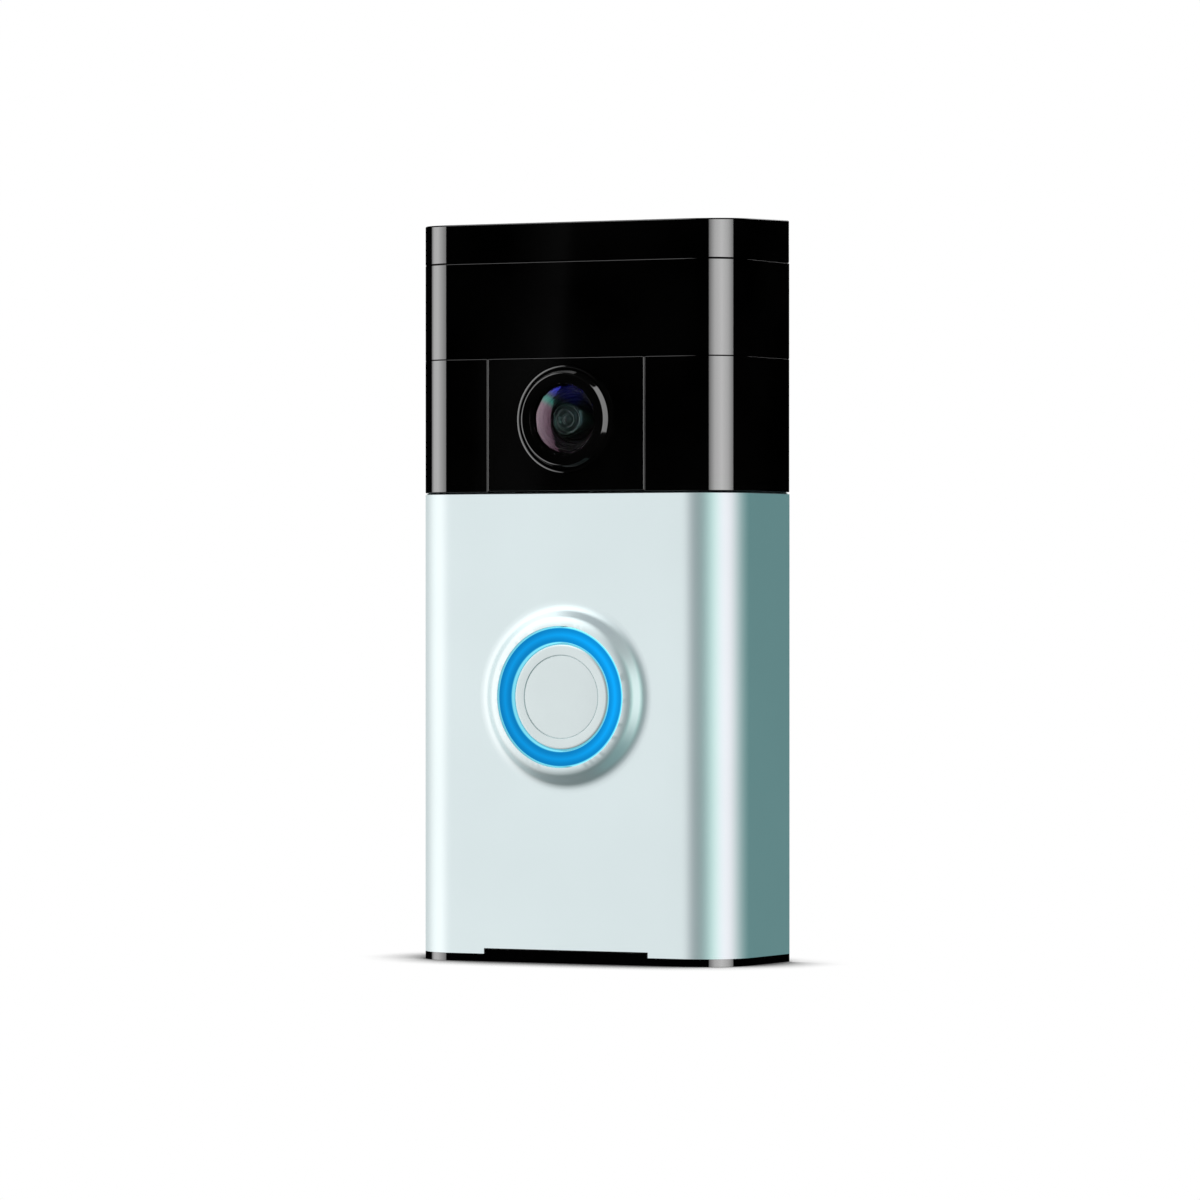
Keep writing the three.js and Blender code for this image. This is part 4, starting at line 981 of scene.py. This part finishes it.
@dataclass
class SmallParts:
    """Finishes of the nodes whose shape stays as it is."""

    finishes: Finishes

    def by_finish(self) -> tuple[tuple[Finish, tuple[str, ...]], ...]:
        """Lists the starts of the names of the nodes that wear each finish.

        Returns:
            Each finish with its starts of names.
        """
        f = self.finishes
        return (
            (f.zinc_steel, ("terminal_screw", "security_screw", "cover_screw", "usb_port", "microphone")),
            (f.contact_gold, ("contact_spring", "contact_pad")),
            (f.solder_mask, ("camera_board", "pir_board", "ir_board", "main_board", "button_board")),
            (f.nitrile, ("perimeter_seal", "speaker_gasket", "button_boot", "battery_pad")),
            (f.tin_foil, ("battery_cell", "processor_shield", "pir_sensor")),
            (f.textured_abs, ("button_switch", "setup_switch", "setup_plunger", "speaker_driver")),
            (f.orange_acetal, ("button_plunger", "setup_button")),
            (f.led_epoxy, ("ir_led", "ring_led")),
            (f.silicon, ("image_sensor",)),
            (f.filled_nylon, ("camera_connector",)),
            (f.polyimide, ("button_flex",)),
        )

    def dress(self) -> None:
        """Gives every kept node its finish."""
        for name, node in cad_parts.items():
            for finish in [f for f, starts in self.by_finish() if name.startswith(starts)]:
                node.data.materials.clear()
                node.data.materials.append(finish.material())


# ---- studio
@dataclass
class Studio:
    """Camera, pale floor and soft light round the doorbell."""

    azimuth: float = 27.65
    distance: float = 1.1711
    lens: float = 202.3
    aside: float = -0.00527
    rise: float = -0.00125
    nearest: float = 0.05
    lamp_distance: float = 1.6
    floor_half: float = 6.0
    floor_contact: float = 0.022
    tent_radius: float = 4.0
    tent_strength: float = 2.0
    level: tuple[Level, ...] = (
        (-180, .30, .33, .33), (-158, .42, .44, .44), (-140, .36, .38, .38), (-113, .39, .40, .40),
        (-98, .52, .507, .50), (-88, .61, .594, .588), (-78, .68, .66, .65), (-62, .725, .69, .68),
        (-53, .70, .67, .665), (-43, .574, .555, .555), (-36, .531, .529, .526), (-22, .536, .531, .529),
        (-16, .507, .498, .498), (-9, .38, .37, .375), (-1, .235, .25, .255), (8, .177, .198, .199),
        (19, .163, .194, .193), (29, .201, .275, .267), (38, .314, .413, .393), (47, .434, .548, .511),
        (56, .543, .617, .587), (66, .671, .615, .645), (76, .708, .615, .64), (86, .649, .572, .597),
        (95, .51, .485, .49), (107, .31, .355, .35), (119, .174, .239, .235), (132, .11, .187, .183),
        (150, .058, .129, .129), (165, .07, .135, .135), (180, .30, .33, .33))
    under: tuple[Level, ...] = (
        (-180, .8, .8, .8), (-125, .8, .8, .8), (-107, .29, .3, .3), (-80, .12, .13, .13), (0, .1, .12, .12),
        (40, .13, .2, .2), (110, .06, .1, .1), (150, .06, .1, .1), (180, .8, .8, .8))
    over: tuple[Level, ...] = (
        (-180, .6, .6, .6), (-70, .85, .85, .85), (-22, .9, .9, .9), (6, .27, .28, .28), (110, .26, .27, .27),
        (150, .3, .3, .3), (180, .6, .6, .6))
    zenith: tuple[Level, ...] = ((-180, .25, .26, .27), (180, .25, .26, .27))
    rises: tuple[tuple[float, float], ...] = ((0.14, 0.36), (0.66, 0.8), (0.9, 0.96))

    def direction(self, azimuth: float, elevation: float = 0.0) -> Vector:
        """Gives the direction at an azimuth from the front towards +X, and an elevation."""
        a, e = math.radians(azimuth), math.radians(elevation)
        return Vector((math.sin(a) * math.cos(e), -math.cos(a) * math.cos(e), math.sin(e)))

    def place_camera(self) -> None:
        """Sets the level camera."""
        camera = bpy.data.objects.new("camera", bpy.data.cameras.new("camera"))
        camera.data.lens = self.lens
        camera.data.clip_start = self.nearest
        camera.location = self.direction(self.azimuth) * self.distance
        camera.location += self.direction(self.azimuth + 90) * self.aside + Vector((0, 0, self.rise))
        camera.rotation_euler = (math.radians(90), 0, math.radians(self.azimuth))
        bpy.context.scene.collection.objects.link(camera)
        bpy.context.scene.camera = camera

    def world(self) -> None:
        """Lights everything with a plain white world."""
        sky = bpy.data.worlds.new("plain_white")
        sky.use_nodes = True
        tree = sky.node_tree
        tree.nodes.clear()
        add = partial(add_node, tree)
        path = add("LightPath").outputs
        bounced = add("Math MAXIMUM", i0=path["Is Glossy Ray"], i1=path["Is Transmission Ray"])
        seen = add("Math MAXIMUM", i0=path["Is Camera Ray"], i1=bounced)
        level = add("Math MULTIPLY_ADD", i0=seen, i1=0.05, i2=0.95)
        back = add("Background", color=(1, 1, 1, 1), strength=level)
        add("OutputWorld", surface=back)
        sky.cycles.sampling_method = "NONE"
        bpy.context.scene.world = sky

    def floor(self) -> None:
        """Lays a white floor that keeps a soft contact shadow."""
        made, tree = new_material("white_floor")
        add = partial(add_node, tree)
        near = add("AmbientOcclusion", {"samples": 16}, distance=self.floor_contact).outputs["AO"]
        stops = [(0.0, 0.0), (0.5, 0.04), (0.6, 0.2), (0.72, 0.62), (0.86, 1.0)]
        shade = add("ValToRGB", {"stops": stops}, fac=near)
        add("OutputMaterial", surface=add("Emission", color=shade, strength=1.0))
        bm = bmesh.new()
        bmesh.ops.create_grid(bm, x_segments=1, y_segments=1, size=self.floor_half)
        bmesh.ops.translate(bm, vec=(0, 0, CAD_BOX[0][2]), verts=bm.verts)
        plane = as_object("floor", bm, made)
        plane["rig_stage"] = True
        plane.visible_glossy = plane.visible_transmission = plane.visible_shadow = False

    def tent(self) -> bpy.types.Object:
        """Hangs a tent that metals mirror: bright front left, dark gap, bright right, dim wall side.

        Returns:
            The tent.
        """
        made, tree = new_material("studio_tent")
        add = partial(add_node, tree)
        split = add("SeparateXYZ", vector=add("VectorMath NORMALIZE", i0=place_mm(tree)))
        towards = add("Math MULTIPLY", i0=split.outputs["Y"], i1=-1.0)
        angle = add("Math ARCTAN2", i0=split.outputs["X"], i1=towards)
        place = add("Math MULTIPLY_ADD", i0=angle, i1=1 / math.tau, i2=0.5)
        lit = [add("ValToRGB", {"stops": [(a / 360 + 0.5, (r, g, b, 1.0)) for a, r, g, b in band]}, fac=place)
               for band in (self.under, self.level, self.over, self.zenith)]
        high = add("Math MULTIPLY_ADD", i0=split.outputs["Z"], i1=0.5, i2=0.5)
        whole = lit[0]
        for rise, band in zip(self.rises, lit[1:]):
            share = add("ValToRGB", {"stops": [(rise[0], 0.0), (rise[1], 1.0)]}, fac=high)
            whole = add("Mix", {"data_type": "RGBA"}, i0=share, i6=whole, i7=band)
        glow = add("Emission", color=whole, strength=self.tent_strength)
        add("OutputMaterial", surface=glow)
        made.cycles.emission_sampling = "NONE"
        bm = bmesh.new()
        bmesh.ops.create_icosphere(bm, subdivisions=5, radius=self.tent_radius)
        tent = as_object("studio_tent", bm, made)
        tent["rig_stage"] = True
        tent.visible_camera = tent.visible_diffuse = tent.visible_shadow = False
        return tent

    def softbox(self, name: str, azimuth: float, elevation: float, width: float, height: float,
                level: float, profile: list[Stop], lean: float = 0.0, aside: float = 0.0) -> bpy.types.Object:
        """Hangs a soft lamp with a bright middle.

        Args:
            name: Name of the lamp.
            azimuth: Where it hangs, from the front towards +X.
            elevation: How high it hangs.
            width: Width as an angle.
            height: Height as an angle.
            level: Brightness of its middle, where 1 is white.
            profile: Brightness across its width.
            lean: How far its top leans to its right, in degrees.
            aside: How far it stands to its left, in metres.

        Returns:
            The lamp.
        """
        far = self.lamp_distance
        lamp = bpy.data.lights.new(name, "AREA")
        lamp.shape = "RECTANGLE"
        lamp.size = 2 * far * math.tan(math.radians(width / 2))
        lamp.size_y = 2 * far * math.tan(math.radians(height / 2))
        lamp.energy = level * math.pi * lamp.size * lamp.size_y
        lamp.use_nodes = True
        lamp.node_tree.nodes.clear()
        add = partial(add_node, lamp.node_tree)
        across = add("SeparateXYZ", vector=add("NewGeometry").outputs["Parametric"])
        shade = add("ValToRGB", {"stops": profile}, fac=across)
        add("OutputLight", surface=add("Emission", color=shade, strength=1.0))
        made = bpy.data.objects.new(name, lamp)
        made.location = self.direction(azimuth, elevation) * far
        facing = (-made.location).to_track_quat("-Z", "Y") @ Quaternion((0, 0, 1), -math.radians(lean))
        made.rotation_euler = facing.to_euler()
        made.location -= facing @ Vector((aside, 0, 0))
        made.visible_camera = False
        bpy.context.scene.collection.objects.link(made)
        return made

    def light(self) -> None:
        """Hangs every lamp and says which finishes each one falls on."""
        groups = {kind: bpy.data.collections.new(kind.value) for kind in Receivers}
        for thing in [o for o in bpy.data.objects if o.type == "MESH" and not o.get("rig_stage")]:
            for material in thing.data.materials[:1]:
                groups[Finish.lit_by.get(material.name, Receivers.MATTS)].objects.link(thing)
        self.tent().light_linking.receiver_collection = groups[Receivers.METALS]
        left = [(0.0, 0.15), (0.25, 0.75), (0.5, 1.0), (0.75, 0.8), (1.0, 0.5)]
        right = [(0.0, 0.25), (0.25, 0.8), (0.5, 1.0), (0.75, 0.75), (1.0, 0.3)]
        plain = [(0.0, 0.6), (0.5, 1.0), (1.0, 0.6)]
        rows: dict[Receivers, list[tuple[Any, ...]]] = {
            Receivers.GLOSSES: [
                ("left_softbox", -68, 0, 48.5, 13, 7.6, left),
                ("right_softbox", 66, 0, 57.5, 13, 11.8, right),
                ("back_softbox", 180, 25, 24, 40, 3.0, [(0.0, 0.5), (0.5, 1.0), (1.0, 0.5)]),
                ("seam_softbox", -60, 58, 50, 36, 4.0, [(0.0, 0.3), (0.5, 1.0), (1.0, 1.0)]),
                ("grey_card", -27.65, 4, 1.8, 9, 0.07, [(0.0, 0.0), (0.5, 0.35), (1.0, 1.0)], 8.0, 0.023)],
            Receivers.LENSES: [
                ("left_lens_softbox", -68, 2, 51, 100, 7.6, left),
                ("right_lens_softbox", 66, 20, 60, 84, 11.4, right),
                ("upper_lens_softbox", -20, 33, 36, 24, 0.3, [(0.0, 0.7), (0.4, 1.0), (1.0, 0.2)])],
            Receivers.MATTS: [
                ("back_left_softbox", -138, 28, 60, 50, 4.0, plain),
                ("back_right_softbox", 138, 28, 60, 50, 4.0, plain)],
        }
        for kind, lamps in rows.items():
            for row in lamps:
                self.softbox(*row).light_linking.receiver_collection = groups[kind]

    def build(self) -> None:
        """Sets up the whole studio."""
        self.place_camera()
        self.world()
        self.floor()
        self.light()
        bpy.context.scene.view_settings.view_transform = "Standard"


def main() -> None:
    """Builds every sub-assembly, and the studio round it."""
    logging.basicConfig(level=logging.INFO, format="%(name)s %(message)s")
    finishes, skins = Finishes(), Skins()
    SensorHead(skins, finishes).build()
    Faceplate(skins, finishes).build()
    PushButton(finishes).build()
    CameraLens(finishes).build()
    WallSide(finishes).build()
    SmallParts(finishes).dress()
    Studio().build()


if __name__ == "__main__":
    main()
